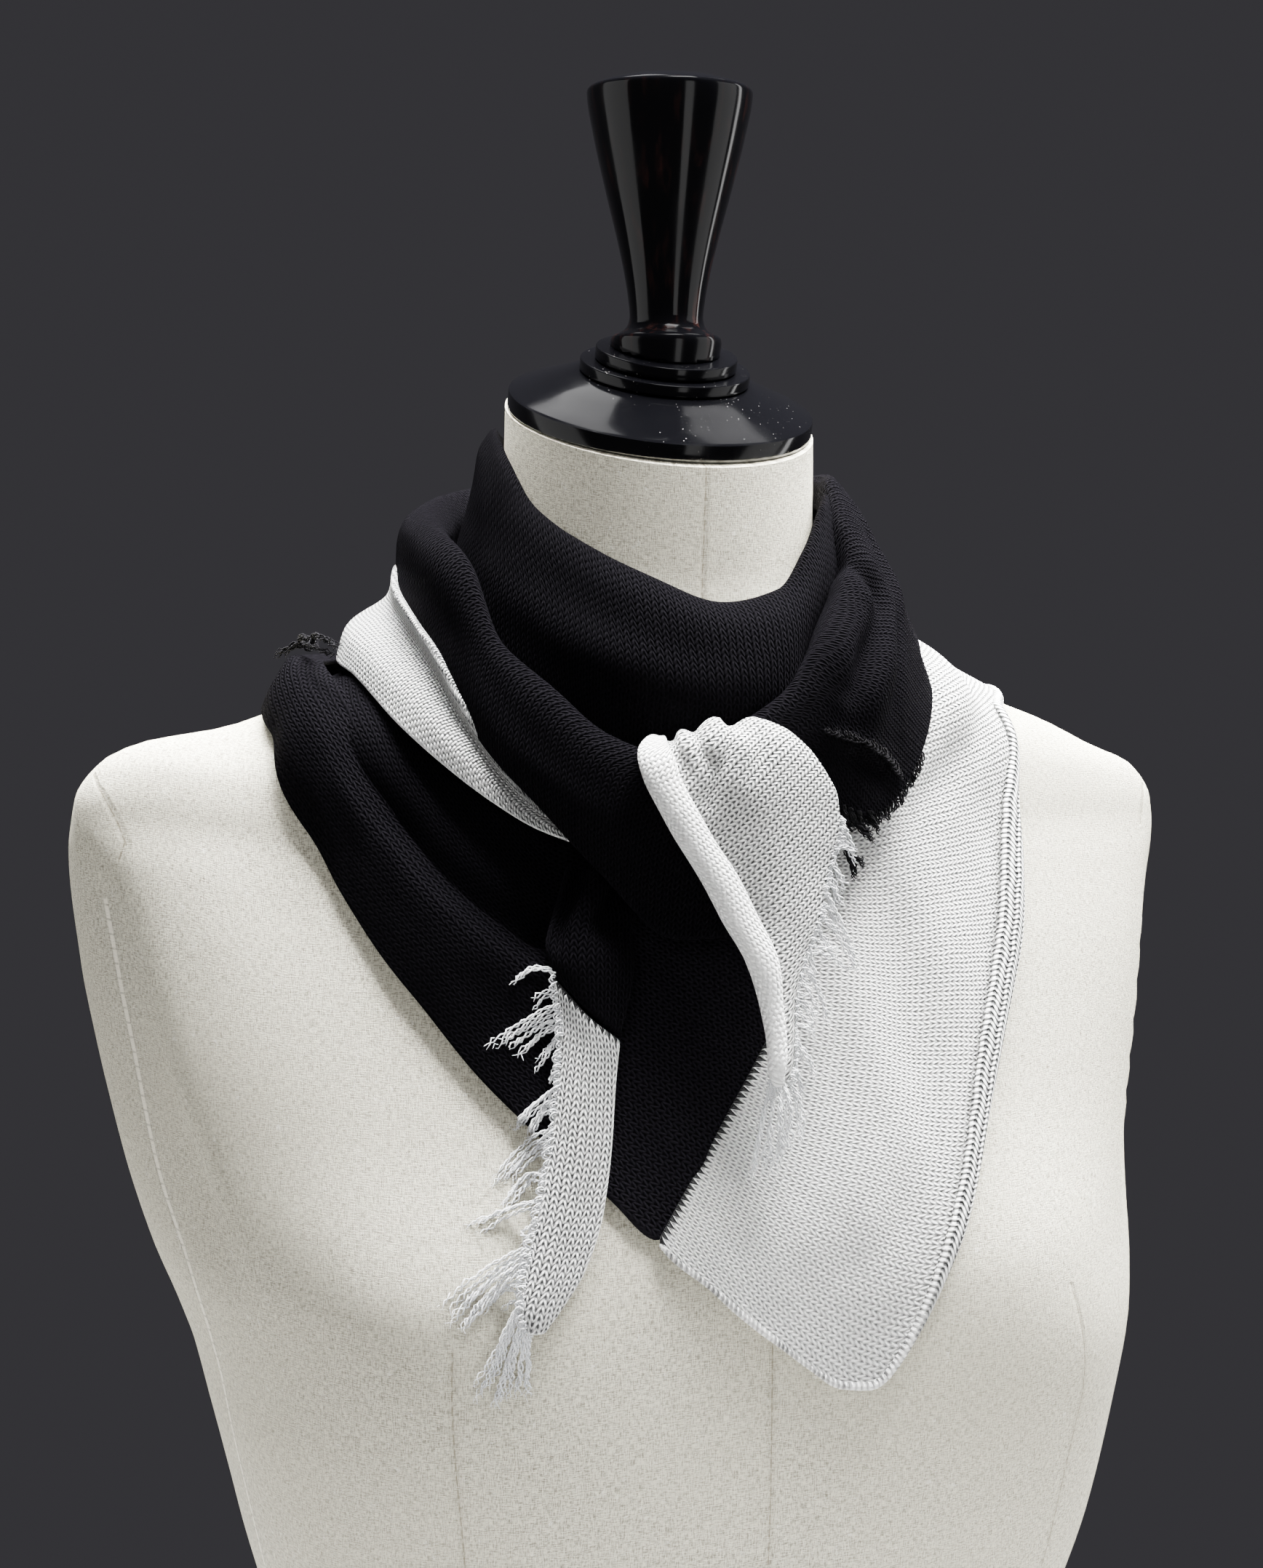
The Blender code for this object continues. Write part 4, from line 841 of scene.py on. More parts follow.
class Recipe:
    """A material whose nodes are wired as they are made."""

    def __init__(self, name):
        self.material = bpy.data.materials.new(name)
        self.material.use_nodes = True
        self.tree = self.material.node_tree
        self.shader = self.tree.nodes["Principled BSDF"]

    def node(self, kind, inputs=(), **settings):
        """Add a node; each input is a number, a colour or the socket that feeds it."""
        made = self.tree.nodes.new(kind)
        for setting, value in settings.items():
            setattr(made, setting, value)
        for socket, value in dict(inputs).items():
            self.feed(made.inputs[socket], value)
        return made

    def feed(self, socket, value):
        """Link a socket to the value, or set it."""
        if isinstance(value, bpy.types.NodeSocket):
            self.tree.links.new(value, socket)
        else:
            socket.default_value = value

    def math(self, operation, *values, clamp=False):
        """The result of one operation on numbers."""
        made = self.node("ShaderNodeMath", enumerate(values), operation=operation,
                         use_clamp=clamp)
        return made.outputs[0]

    def times(self, first, second, clamp=False):
        """The product of two values."""
        return self.math("MULTIPLY", first, second, clamp=clamp)

    def vectors(self, operation, first, socket, second):
        """The result of one operation on vectors, the second going in by the socket named."""
        return self.node("ShaderNodeVectorMath", {0: first, socket: second},
                         operation=operation).outputs[0]

    def ramp(self, value, low, high, bottom=0.0, top=1.0, smooth=True):
        """The value, spread from low..high to bottom..top and held there beyond."""
        made = self.node("ShaderNodeMapRange", enumerate((value, low, high, bottom, top)),
                         interpolation_type="SMOOTHSTEP" if smooth else "LINEAR")
        return made.outputs[0]

    def blend(self, share, first, second):
        """The first colour, giving way to the second as the share grows."""
        inputs = {0: share, 6: opaque(first), 7: opaque(second)}
        return self.node("ShaderNodeMix", inputs, data_type="RGBA").outputs[2]

    def between(self, share, first, second):
        """The first value, giving way to the second as the share grows."""
        inputs = {0: share, 2: first, 3: second}
        return self.node("ShaderNodeMix", inputs, data_type="FLOAT").outputs[0]

    def speckle(self, where, scale, detail=2.0, rough=0.5):
        """Soft noise with this many bumps to the metre, or to the unit that the place is in."""
        made = self.node("ShaderNodeTexNoise",
                         {"Vector": where, "Scale": scale, "Detail": detail,
                          "Roughness": rough})
        return made.outputs[0]

    def place(self, scale=(1, 1, 1)):
        """The point's place in metres, stretched by the scale."""
        source = self.node("ShaderNodeTexCoord").outputs["Object"]
        return self.node("ShaderNodeMapping", {0: source, "Scale": scale}).outputs[0]

    def parts(self, vector):
        """The three numbers of a vector."""
        return self.node("ShaderNodeSeparateXYZ", {0: vector}).outputs

    def laid_out(self, name):
        """The point's place in the piece's UV map of this name."""
        return self.node("ShaderNodeUVMap", uv_map=name).outputs[0]

    def measure(self, name):
        """The number that the piece's points carry under this name."""
        return self.node("ShaderNodeAttribute", attribute_name=name).outputs["Fac"]

    def relief(self, height, distance, under=None):
        """The surface raised by the height times the distance, over the relief under it."""
        inputs = {"Height": height, "Distance": distance, "Strength": 1.0}
        if under is not None:
            inputs["Normal"] = under
        return self.node("ShaderNodeBump", inputs).outputs[0]

    def set(self, **sockets):
        """Set the shader's own sockets, named in lower case."""
        for name, value in sockets.items():
            label = name.replace("_", " ").title().replace("Ior", "IOR")
            self.feed(self.shader.inputs[label], opaque(value))


def round_top(recipe, away, reach):
    """Height across a round strand: 1 on its top, less towards the reach on either side."""
    part = recipe.times(away, reach)
    return recipe.math("SQRT", recipe.math("SUBTRACT", 1.0, recipe.times(part, part), clamp=True))


def stitch_places(recipe):
    """How many wales across and courses along the cloth a point lies, swaying a little."""
    stitches = recipe.laid_out("stitches")
    sway = recipe.node("ShaderNodeTexNoise", {"Vector": recipe.place(), "Scale": 140.0,
                                             "Detail": 2.0}).outputs[1]
    sway = recipe.vectors("SUBTRACT", sway, 1, (0.5, 0.5, 0.5))
    sway = recipe.vectors("SCALE", sway, "Scale", STITCH_SWAY)
    parts = recipe.parts(recipe.vectors("ADD", stitches, 1, sway))
    return recipe.math("DIVIDE", parts[0], WALE), recipe.math("DIVIDE", parts[1], COURSE)


def knit_side(recipe, wales, courses):
    """The height of the V-shaped legs; the small holes between them; a number by chance for each
    leg; and how far a point is from the middle of its wale."""
    from_centre = recipe.times(recipe.math("PINGPONG", wales, 0.5), 2.0)
    climb = recipe.math("SUBTRACT", courses, recipe.times(from_centre, LEG_SLANT))
    along_leg = recipe.math("ABSOLUTE", recipe.math("MULTIPLY_ADD", from_centre, 2.0, -1.0))
    beside_leg = recipe.times(recipe.math("PINGPONG", climb, 0.5), 2.0)
    legs = recipe.times(round_top(recipe, beside_leg, 0.94), round_top(recipe, along_leg, 0.88))
    hole = recipe.times(recipe.ramp(beside_leg, 0.14, 0.54), recipe.ramp(along_leg, 0.24, 0.70))
    stitch = recipe.node("ShaderNodeCombineXYZ", {
        0: recipe.math("FLOOR", recipe.times(wales, 2.0)),
        1: recipe.math("FLOOR", recipe.math("ADD", climb, 0.5))}).outputs[0]
    chance = recipe.node("ShaderNodeTexWhiteNoise", {"Vector": stitch}).outputs["Value"]
    return legs, hole, chance, from_centre


def purl_side(recipe, wales, courses):
    """The height of the rows of round grains, two to a course, each set between the last."""
    rows = recipe.times(courses, 2.0)
    offset = recipe.times(recipe.math("MODULO", recipe.math("FLOOR", rows), 2.0), 0.5)
    beside = recipe.math("PINGPONG", recipe.math("ADD", wales, offset), 0.5)
    within = recipe.math("PINGPONG", rows, 0.5)
    grain_side = recipe.math("POWER", recipe.times(beside, 2.0, clamp=True), 0.7)
    grain_high = recipe.math("POWER", recipe.times(within, 2.0, clamp=True), 0.6)
    return recipe.times(grain_side, grain_high)


def knit_heights(recipe):
    """The height of the knitting, from 0 in a gap to 1, on the knit side or the purl side; its
    holes, fewer on the purl side and none in calm cloth; and the knit side's other measures."""
    wales, courses = stitch_places(recipe)
    legs, hole, chance, from_centre = knit_side(recipe, wales, courses)
    grains = purl_side(recipe, wales, courses)
    purl, calm = recipe.measure("purl_side"), recipe.measure("calm")
    height = recipe.between(recipe.times(calm, 0.6), recipe.between(purl, legs, grains), 0.9)
    hole = recipe.times(hole, recipe.math("MULTIPLY_ADD", purl, -0.4, 1.0))
    hole = recipe.times(hole, recipe.math("SUBTRACT", 1.0, calm))
    return height, hole, chance, from_centre


def past_border(recipe, from_centre):
    """1 past the colour border, whose zigzag follows the wales, and 0 before it."""
    tooth = recipe.ramp(from_centre, 0.0, 1.0, 1.0, 1 - TOOTH / BORDER_REACH, smooth=False)
    return recipe.ramp(recipe.math("SUBTRACT", recipe.measure("near_black"), tooth), -0.01, 0.01)


def knit(name, light, dark, depth, fleck, gap, beyond=None):
    """Stockinette: legs in V columns, with painted shade between the stitches and soft fibres on
    top.
    The gap gives the heights between which the painted shade turns to the yarn's own colour. Past
    its colour border it is knitted in the two colours beyond."""
    recipe = Recipe(name)
    height, hole, chance, from_centre = knit_heights(recipe)
    opened, place_on = recipe.measure("opened"), recipe.place()
    fibre = recipe.speckle(place_on, 3800.0, 2.0, 0.6)
    tuft = recipe.speckle(place_on, 900.0)
    patch = recipe.speckle(place_on, 28.0)
    # Painted shade: the lower the knitting lies between its stitches, the darker it is drawn; a
    # little less so on the purl side, a little more where the stitches gape.
    shift = recipe.math("MULTIPLY_ADD", recipe.measure("purl_side"), -0.08,
                        recipe.times(opened, 0.05))
    lit = recipe.ramp(height, *(recipe.math("ADD", shift, level) for level in gap))
    # Painted shade in the small holes between the stitches, deeper where they gape.
    deep = recipe.math("MULTIPLY_ADD", opened, 0.38, HOLE_SHADE)
    deep = recipe.times(deep, recipe.ramp(chance, 0.0, 1.0, 0.7, 1.1, smooth=False))
    lit = recipe.math("SUBTRACT", lit, recipe.times(hole, deep), clamp=True)
    lit = recipe.times(lit, recipe.ramp(chance, 0.0, 0.6, 0.86, 1.0, smooth=False))
    lit = recipe.math("MULTIPLY_ADD", recipe.math("SUBTRACT", tuft, 0.5), fleck, lit, clamp=True)
    # The bib's black gets a copy painted lighter, standing in for the light that it catches from
    # the front.
    worn, painted_light = (tuple(share * part for part in light) for share in (WORN, PAINTED_LIGHT_GAIN))
    colour = recipe.blend(recipe.ramp(patch, 0.35, 0.75, 0.0, 0.5),
                          recipe.blend(lit, dark, light), recipe.blend(lit, dark, worn))
    colour = recipe.blend(recipe.measure("painted_light"), colour, recipe.blend(lit, dark, painted_light))
    if beyond:
        light_beyond, dark_beyond = beyond
        colour = recipe.blend(past_border(recipe, from_centre), colour,
                              recipe.blend(lit, dark_beyond, light_beyond))
    raised = recipe.math("MULTIPLY_ADD", fibre, 0.14, height)
    raised = recipe.math("MULTIPLY_ADD", tuft, 0.2, raised)
    raised = recipe.math("MULTIPLY_ADD", hole, -0.4, raised)
    recipe.set(base_color=colour, normal=recipe.relief(raised, depth), roughness=0.92)
    return recipe


def black_knit():
    """The soft, matt black of the wraps."""
    recipe = knit("knit_black", BLACK, BLACK_GAP_SHADE, depth=1.0 * MM, fleck=0.5, gap=(0.08, 0.8))
    recipe.set(sheen_weight=0.006, sheen_roughness=0.6, specular_ior_level=0.03,
               diffuse_roughness=1.0, sheen_tint=BLACK_SHEEN)
    return recipe.material


def white_knit():
    """The open white of the fold, the bib and the hanging ends."""
    recipe = knit("knit_white", WHITE, WHITE_GAP_SHADE, depth=1.8 * MM, fleck=0.2, gap=(0.0, 0.5),
                  beyond=(BLACK, BLACK_GAP_SHADE))
    recipe.set(sheen_weight=0.15, sheen_roughness=0.5, specular_ior_level=0.2)
    return recipe.material


def yarn(name, light, dark, sheen):
    """Loose yarn: soft fibres running every way, with painted shade where they part and underneath.
    """
    recipe = Recipe(name)
    fibre = recipe.speckle(recipe.place(), 2600.0, 3.0, 0.6)
    colour = recipe.blend(recipe.ramp(fibre, 0.3, 0.55), dark, light)
    upward = recipe.parts(recipe.node("ShaderNodeNewGeometry").outputs["Normal"])[2]
    # Painted shade: the undersides, facing away from the light above, turn to the dark colour.
    colour = recipe.blend(recipe.ramp(upward, -0.6, 0.1, 0.6, 0.0), colour, dark)
    recipe.set(base_color=colour, normal=recipe.relief(fibre, 0.2 * MM), roughness=0.95,
               sheen_weight=sheen, sheen_roughness=0.5, specular_ior_level=0.15)
    return recipe.material


def near(recipe, apart, widths):
    """1 up to the first of the widths from a seam, in millimetres, and 0 past the second."""
    return recipe.ramp(apart, widths[0] * MM, widths[1] * MM, 1.0, 0.0)


def seams(recipe):
    """Where the cover is seamed: the dark of its stitches, the pale thread of its topstitching,
    and the fold beside them, shaped in relief and darkened with painted shade."""
    height = recipe.parts(recipe.place())[2]
    dash = recipe.math("PINGPONG", recipe.math("DIVIDE", height, DASH_PITCH), 0.5)
    dark, pale, fold = 0.0, 0.0, 0.0
    for name, low, high, _, topstitched in SEAM_ROWS:
        apart = recipe.math("ABSOLUTE", recipe.measure(name))
        above = recipe.ramp(height, (low - 1) * MM, low * MM, smooth=False)
        below = recipe.ramp(height, high * MM, (high + 1) * MM, 1.0, 0.0, smooth=False)
        reach = recipe.times(above, below)
        widths, dashes = TOPSTITCH_THREAD if topstitched else SEAM_THREAD
        thread = recipe.times(near(recipe, apart, widths), recipe.ramp(dash, *dashes))
        thread = recipe.times(thread, reach)
        if topstitched:
            pale = recipe.math("MAXIMUM", pale, thread)
        else:
            dark = recipe.math("MAXIMUM", dark, thread)
        gather = recipe.times(near(recipe, apart, SEAM_GATHER), reach)
        fold = recipe.math("MAXIMUM", fold, gather)
    return dark, pale, fold


def weave(recipe):
    """The height of threads that go over and under each other, thick and thin."""
    cloth = recipe.laid_out("threads")
    along, across_it = (
        recipe.node("ShaderNodeMapping", {0: cloth, "Scale": scale}).outputs[0]
        for scale in SLUBS)
    slub = recipe.math("ADD", recipe.speckle(along, 1.0, 2.0, 0.6),
                       recipe.speckle(across_it, 1.0, 2.0, 0.6))
    warp_wave, weft_wave = (recipe.math("SINE", recipe.times(part, math.pi / THREAD))
                            for part in recipe.parts(cloth)[:2])
    over = recipe.ramp(recipe.times(warp_wave, weft_wave), -0.2, 0.2)
    woven = recipe.between(over, recipe.math("ABSOLUTE", weft_wave),
                           recipe.math("ABSOLUTE", warp_wave))
    thread = recipe.math("MULTIPLY_ADD", slub, 1.5, recipe.times(woven, 0.45))
    uneven_yarn = recipe.speckle(recipe.place(), 1250.0, 2.0, 0.65)
    return recipe.math("MULTIPLY_ADD", recipe.math("SUBTRACT", uneven_yarn, 0.5), 0.7, thread)


def linen():
    """Plain weave of ivory linen with painted shade between its threads, faintly stained, with pale
    nubs and seams.
    """
    recipe = Recipe("linen")
    thread, place_on = weave(recipe), recipe.place()
    stain = recipe.speckle(place_on, 9.0, 3.0)
    nub = recipe.ramp(recipe.speckle(place_on, 420.0, 2.0, 0.6), 0.66, 0.74)
    dark, pale, fold = seams(recipe)
    # Painted shade where the weave lies low between its threads.
    colour = recipe.blend(recipe.ramp(thread, 1.34, 2.08), LINEN_GAP_SHADE, LINEN)
    colour = recipe.blend(recipe.ramp(stain, 0.3, 0.8, 0.0, 0.4), colour, LINEN_STAIN)
    # The fold beside each seam is darkened with painted shade.
    for where, strength, shade in ((nub, 0.6, LINEN_NUB), (fold, 0.16, SEAM_FOLD_SHADE),
                                   (dark, 0.75, SEAM_STITCH), (pale, 0.9, TOPSTITCH)):
        colour = recipe.blend(recipe.times(where, strength), colour, shade)
    bump = recipe.relief(thread, 0.22 * MM)
    bump = recipe.relief(recipe.times(fold, -1.0), 0.5 * MM, under=bump)
    recipe.set(base_color=colour, normal=bump, roughness=0.9, specular_ior_level=0.2)
    return recipe.material


def worn_brown(recipe, strength):
    """Streaks along the knob's grain where its lacquer is worn, none of them near its top."""
    grain = recipe.speckle(recipe.place((300, 300, 7)), 1.0, 3.0, 0.55)
    height = recipe.parts(recipe.place())[2]
    low, high = ((KNOB_TOP_HEIGHT - depth) * MM for depth in KNOB_UNWORN)
    below_top = recipe.ramp(height, low, high, 1.0, 0.0)
    return recipe.times(below_top, recipe.ramp(grain, 0.52, 0.80, 0.0, strength))


def dust_specks(recipe, strength):
    """Specks of dust, in some of the cells of a fine pattern and only in soft patches."""
    place_on = recipe.place()
    dots = recipe.node("ShaderNodeTexVoronoi", {"Vector": place_on, "Scale": 900.0})
    dot = recipe.ramp(dots.outputs["Distance"], 0.10, 0.2, strength, 0.0)
    pick = recipe.node("ShaderNodeSeparateColor", {0: dots.outputs["Color"]}).outputs[0]
    dusty = recipe.times(dot, recipe.ramp(pick, 0.80, 0.86))
    return recipe.times(dusty, recipe.ramp(recipe.speckle(place_on, 34.0), 0.46, 0.62))


def lacquer(name, dust=0.0, streaks=0.0):
    """Black lacquer on turned wood, worn brown along its grain, with dust where it gathers."""
    recipe = Recipe(name)
    colour = LACQUER
    smear = recipe.speckle(recipe.place((90, 90, 14)), 1.0)
    rough = recipe.ramp(smear, 0.3, 0.7, 0.09, 0.20)
    if streaks:
        colour = recipe.blend(worn_brown(recipe, streaks), colour, LACQUER_WORN)
    if dust:
        dusty = dust_specks(recipe, dust)
        colour = recipe.blend(recipe.times(dusty, 0.35), colour, DUST)
        rough = recipe.math("MULTIPLY_ADD", dusty, 0.4, rough)
    wave = recipe.relief(recipe.speckle(recipe.place(), 60.0, 1.0), 0.04 * MM)
    recipe.set(base_color=colour, roughness=rough, normal=wave, coat_weight=0.3,
               coat_roughness=0.08, specular_ior_level=0.4)
    return recipe.material


def form_rings():
    """The height of each ring of the cover, and its share of the form's radius there."""
    heights = np.concatenate([
        np.zeros(END_RINGS), np.linspace(0, SHOULDER_HEIGHT, TRUNK_RINGS, endpoint=False),
        np.linspace(SHOULDER_HEIGHT, NECK_BASE, SHOULDER_RINGS, endpoint=False),
        np.linspace(NECK_BASE, NECK_TOP, NECK_RINGS), np.full(END_RINGS, NECK_TOP)])
    inwards = np.linspace(0, 1, END_RINGS, endpoint=False) + 1 / END_RINGS - END_INSET
    shares = np.concatenate([inwards, np.ones(FORM_LEVELS), np.linspace(1, 0, END_RINGS + 1)[1:]])
    return heights, shares


def form_points(ball):
    """A ball's points moved to the form's surface, with their azimuths, heights and radii."""
    spread, share = form_rings()
    rings = len(spread)
    ring = np.degrees(np.arccos(np.clip(-ball[:, 2], -1, 1))) / 180 * (rings + 1)
    ring = np.rint(ring).astype(int) - 1
    azimuth = np.degrees(np.arctan2(ball[:, 0], -ball[:, 1]))
    azimuth = np.where(np.hypot(ball[:, 0], ball[:, 1]) < 1e-5, 0, azimuth)
    at = np.clip(ring, 0, rings - 1)
    heights, shares = spread[at], np.where((ring < 0) | (ring >= rings), 0, share[at])
    radius = form_radius(azimuth, heights)
    points = place(azimuth, heights, radius * shares)
    lean = np.maximum(0, (heights - NECK_BASE) / (NECK_TOP - NECK_BASE)) * math.tan(CAP_SLANT)
    points[:, 2] += lean * (points[:, 1] - NECK_Y)
    shoulder = eased_step(radius, *SHOULDER_OUT) * eased_step(heights, *SHOULDER_ABOVE)
    side = np.sin(np.radians(azimuth))
    tilt = np.where(side < 0, -SHOULDER_UP * side, -SHOULDER_DOWN * side)
    points[:, 2] += shoulder * tilt * MM
    return points, azimuth, heights, radius


def form_cover(finish):
    """The linen cover, one closed skin from the underside up to the cap."""
    deselect()
    bpy.ops.mesh.primitive_uv_sphere_add(segments=FORM_SIDES, radius=1,
                                         ring_count=FORM_LEVELS + 2 * END_RINGS + 1)
    cover = bpy.context.object
    cover.name = cover.data.name = "form_cover"
    ball = np.empty(3 * len(cover.data.vertices))
    cover.data.vertices.foreach_get("co", ball)
    points, azimuth, heights, radius = form_points(ball.reshape(-1, 3))
    cover.data.vertices.foreach_set("co", points.reshape(-1))
    threads = np.stack([np.radians(azimuth) * radius * MM, heights * MM], axis=-1)
    lay_out(cover, "threads", threads[corner_points(cover)])
    for name, _, _, line, _ in SEAM_ROWS:
        apart = (azimuth - read(line, heights) + 180) % 360 - 180
        set_measure(cover, name, np.radians(apart) * radius * MM)
    edit_all(cover, face_out)
    bpy.ops.object.shade_smooth_by_angle(angle=FORM_CREASE)
    dress(cover, finish, "form_body")
    return cover


def turned(name, profile, sides, finish, node, seat):
    """A closed body, turned upright from rows of (height, radius), top to bottom, and then moved
    to its seat."""
    deselect()
    height, radius = profile[0]
    bpy.ops.mesh.primitive_circle_add(vertices=sides, radius=MM * radius, fill_type="NGON",
                                      location=(0, 0, MM * height))
    bpy.ops.object.transform_apply(location=True)
    piece = bpy.context.object
    piece.name = piece.data.name = name
    bpy.ops.object.mode_set(mode="EDIT")
    bpy.ops.mesh.select_all(action="SELECT")
    for below, wide in profile[1:]:
        bpy.ops.mesh.extrude_region_move(
            TRANSFORM_OT_translate={"value": (0, 0, MM * (below - height))})
        bpy.ops.transform.resize(value=(wide / radius, wide / radius, 1),
                                 center_override=(0, 0, MM * below))
        height, radius = below, wide
    bpy.ops.object.mode_set(mode="OBJECT")
    edit_all(piece, face_out)
    bpy.ops.object.shade_smooth_by_angle(angle=TURNED_CREASE)
    piece.data.transform(seat)
    return dress(piece, finish, node)


def eased_edge(radius, level, up):
    """A disc's profile round its eased edge, downwards; up is 1 at its top and -1 at its foot."""
    turns = [math.radians(90 * k / EASE_STEPS) for k in range(EASE_STEPS + 1)][::up]
    return [(level + up * CAP_EASE * (math.cos(turn) - 1), radius + CAP_EASE * (math.sin(turn) - 1))
            for turn in turns]


def make_cap(finish):
    """The slanted neck cap and its two step rings, with their slant and how high they reach."""
    slant = Matrix.Translation((0, NECK_Y, MM * NECK_TOP)) @ Matrix.Rotation(CAP_SLANT, 4, "X")
    rim_top = TURNED_GAP + CAP_RIM
    top = rim_top + CAP_CHAMFER
    profile = [(top + higher, CAP_FLAT + wider) for higher, wider in CAP_TOP_ROWS]
    profile += [(rim_top + higher, CAP_RADIUS + wider) for higher, wider in CAP_RIM_ROWS]
    profile += eased_edge(CAP_RADIUS, TURNED_GAP, -1)
    turned("cap_disc", profile, CAP_SIDES, finish, "neck_cap", slant)
    for name, node, radius, height in RING_ROWS:
        base = top + TURNED_GAP
        top = base + height
        profile = [(top, radius - 3 * CAP_EASE)]
        profile += eased_edge(radius, top, 1) + eased_edge(radius, base, -1)
        turned(name, profile, RING_SIDES, finish, node, slant)
    return slant, top + TURNED_GAP


def make_knob(finish, slant, foot):
    """The upright knob, its foot cut to the slant of the ring that it stands on."""
    rows = [(-height, radius) for height, radius in KNOB_PROFILE if radius > 0]
    depths = [row[0] for row in rows]
    fine = np.unique(np.concatenate([depths, np.linspace(depths[0], depths[-2], KNOB_RINGS)]))
    face = KNOB_PROFILE[0][0]
    profile = [(face, KNOB_FACE)] + [(-depth, float(read(rows, depth))) for depth in fine]
    seat = Matrix.Translation((0, NECK_Y - MM * KNOB_FORWARD, MM * (KNOB_TOP_HEIGHT - face)))
    knob = turned("turned_knob", profile, KNOB_SIDES, finish, "cap_knob", seat)
    plane = slant @ Vector((0, 0, MM * foot))
    upward = slant.to_3x3() @ Vector((0, 0, 1))

    def trim():
        bpy.ops.mesh.bisect(plane_co=plane, plane_no=upward, use_fill=True, clear_inner=True)

    edit_all(knob, trim)
    edit_all(knob, face_out)


def make_wraps(black, white):
    """The stretches wound round the neck, with the ragged part of the right one's lower edge."""
    right = wrap_grid(WRAP_RIGHT_ROWS, step=1.6, wide=40)
    hem_turn = cylinder(right)[0][:, -1]
    ragged = right[(hem_turn > RAGGED_FROM) & (hem_turn < RAGGED_TO), -1]
    fold = wrap_grid(WHITE_FOLD_ROWS, step=2, wide=26)
    pieces = [
        cloth_sheet("cowl", wrap_grid(COWL_ROWS, step=2.5, wide=26), black),
        cloth_sheet("wrap_left", wrap_grid(WRAP_LEFT_ROWS, step=2, wide=32), black),
        cloth_sheet("wrap_right", right, black),
        cloth_sheet("white_fold", fold, white, dict(opened=np.ones(fold.shape[:2]))),
        cloth_sheet("inner_band", wrap_grid(INNER_BAND_ROWS, step=2, wide=20, seated=(5,)),
                    black),
    ]
    return pieces, ragged


def make_bib(black, white):
    """The panels on the chest: black, then white with the colour border and a rolled hem."""
    laid = (1, 2, 3, 4)
    bib = wrap_grid(BIB_BLACK_ROWS, step=1.6, wide=36, seated=laid)
    # Painted light: the bib's black is drawn lighter towards the front.
    painted_light = eased_step(cylinder(bib)[0], PAINTED_LIGHT_FROM, PAINTED_LIGHT_FULL)
    dark = cloth_sheet("bib_black", bib, black, dict(painted_light=painted_light), chest=-30)
    bib = wrap_grid(BIB_WHITE_ROWS, step=1.6, wide=44, seated=laid, roll=BIB_ROLL_ROWS)
    from_top = -run_along(bib, 1, bib.shape[1] - 1)
    at_border = cylinder(bib)[0][:, -1:] < BORDER_END
    near_black = np.clip(1 - from_top / BORDER_REACH, 0, 1) * at_border
    roll_size = read(BIB_ROLL_ROWS, cylinder(bib)[0][:, :1])
    opened = CHAIN_OPENED * (np.arange(bib.shape[1])[None, :] < ROLL_POINTS) * np.clip(
        roll_size - 1, 0, 1)
    light = cloth_sheet("bib_white", bib, white, dict(near_black=near_black, opened=opened),
                        chest=30, chain=True)
    return [dark, light]


def make_ends(black, white):
    """The hanging ends, with the frayed edges of the left and the right one."""
    short = hanging_grid(TAIL_LEFT_BLACK_ROWS, down=18, wide=14, on_form=True)
    pieces = [cloth_sheet("tail_left_black", short, black)]
    left = hanging_grid(TAIL_LEFT_WHITE_ROWS, down=60, wide=20, on_form=True)
    near_black = np.clip(1 - run_along(left, 0, 0) / SHORT_REACH, 0, 1)
    pieces.append(cloth_sheet("tail_left_white", left, white,
                              dict(near_black=near_black, opened=np.ones(near_black.shape))))
    right = hanging_grid(TAIL_RIGHT_ROWS, down=60, wide=40, roll=TAIL_ROLL_ROWS,
                         crown=TAIL_CROWN_ROWS)
    on_roll = np.arange(right.shape[1])[None, :] < ROLL_POINTS
    lower = np.linspace(ROLL_CALM_TOP, ROLL_CALM_FOOT, len(right))[:, None]
    pieces.append(cloth_sheet("tail_right", right, white, dict(
        opened=np.ones(right.shape[:2]), purl_side=on_roll + 0 * lower, calm=on_roll * lower)))
    frayed = right[cylinder(right)[1][:, -1] < FRAY_TOP]
    return pieces, left[:, 0], frayed[:, -1]


def make_scarf(black, white):
    """Every stretch of the scarf, with its frayed edges: left end, right end, right wrap."""
    wraps, ragged = make_wraps(black, white)
    bib = make_bib(black, white)
    ends, left_edge, right_edge = make_ends(black, white)
    cloth = {piece.name.replace("knit_", ""): piece for piece in wraps + bib + ends}
    return cloth, (left_edge, right_edge, ragged)


def edge_point(edge, height):
    """Azimuth and radius of the cloth's edge at this height."""
    azimuths, heights, radii = (values[0, ::-1] for values in cylinder(edge[None]))
    return np.interp(height, heights, azimuths), np.interp(height, heights, radii)


def edge_frame(azimuth, height, radius, away):
    """A place on an edge, with the directions out from the neck and along the cloth past its
    edge, each a millimetre long; away is LEFT or RIGHT."""
    start = place(azimuth, height, radius)
    out = place(azimuth, height, radius + 1) - start
    return start, out, np.array([-out[1], out[0], 0]) * away


def behind(pieces, point):
    """Radius of the outermost of the pieces behind a point, in metres."""
    axis = Vector((0, NECK_Y, point[2]))
    away = (Vector(point) - axis).normalized()
    start = axis + away * REACH_OUT
    found = 0.0
    for piece in pieces:
        hit, spot = piece.ray_cast(start, -away, distance=REACH_OUT)[:2]
        if hit:
            found = max(found, (spot - axis).length)
    return found


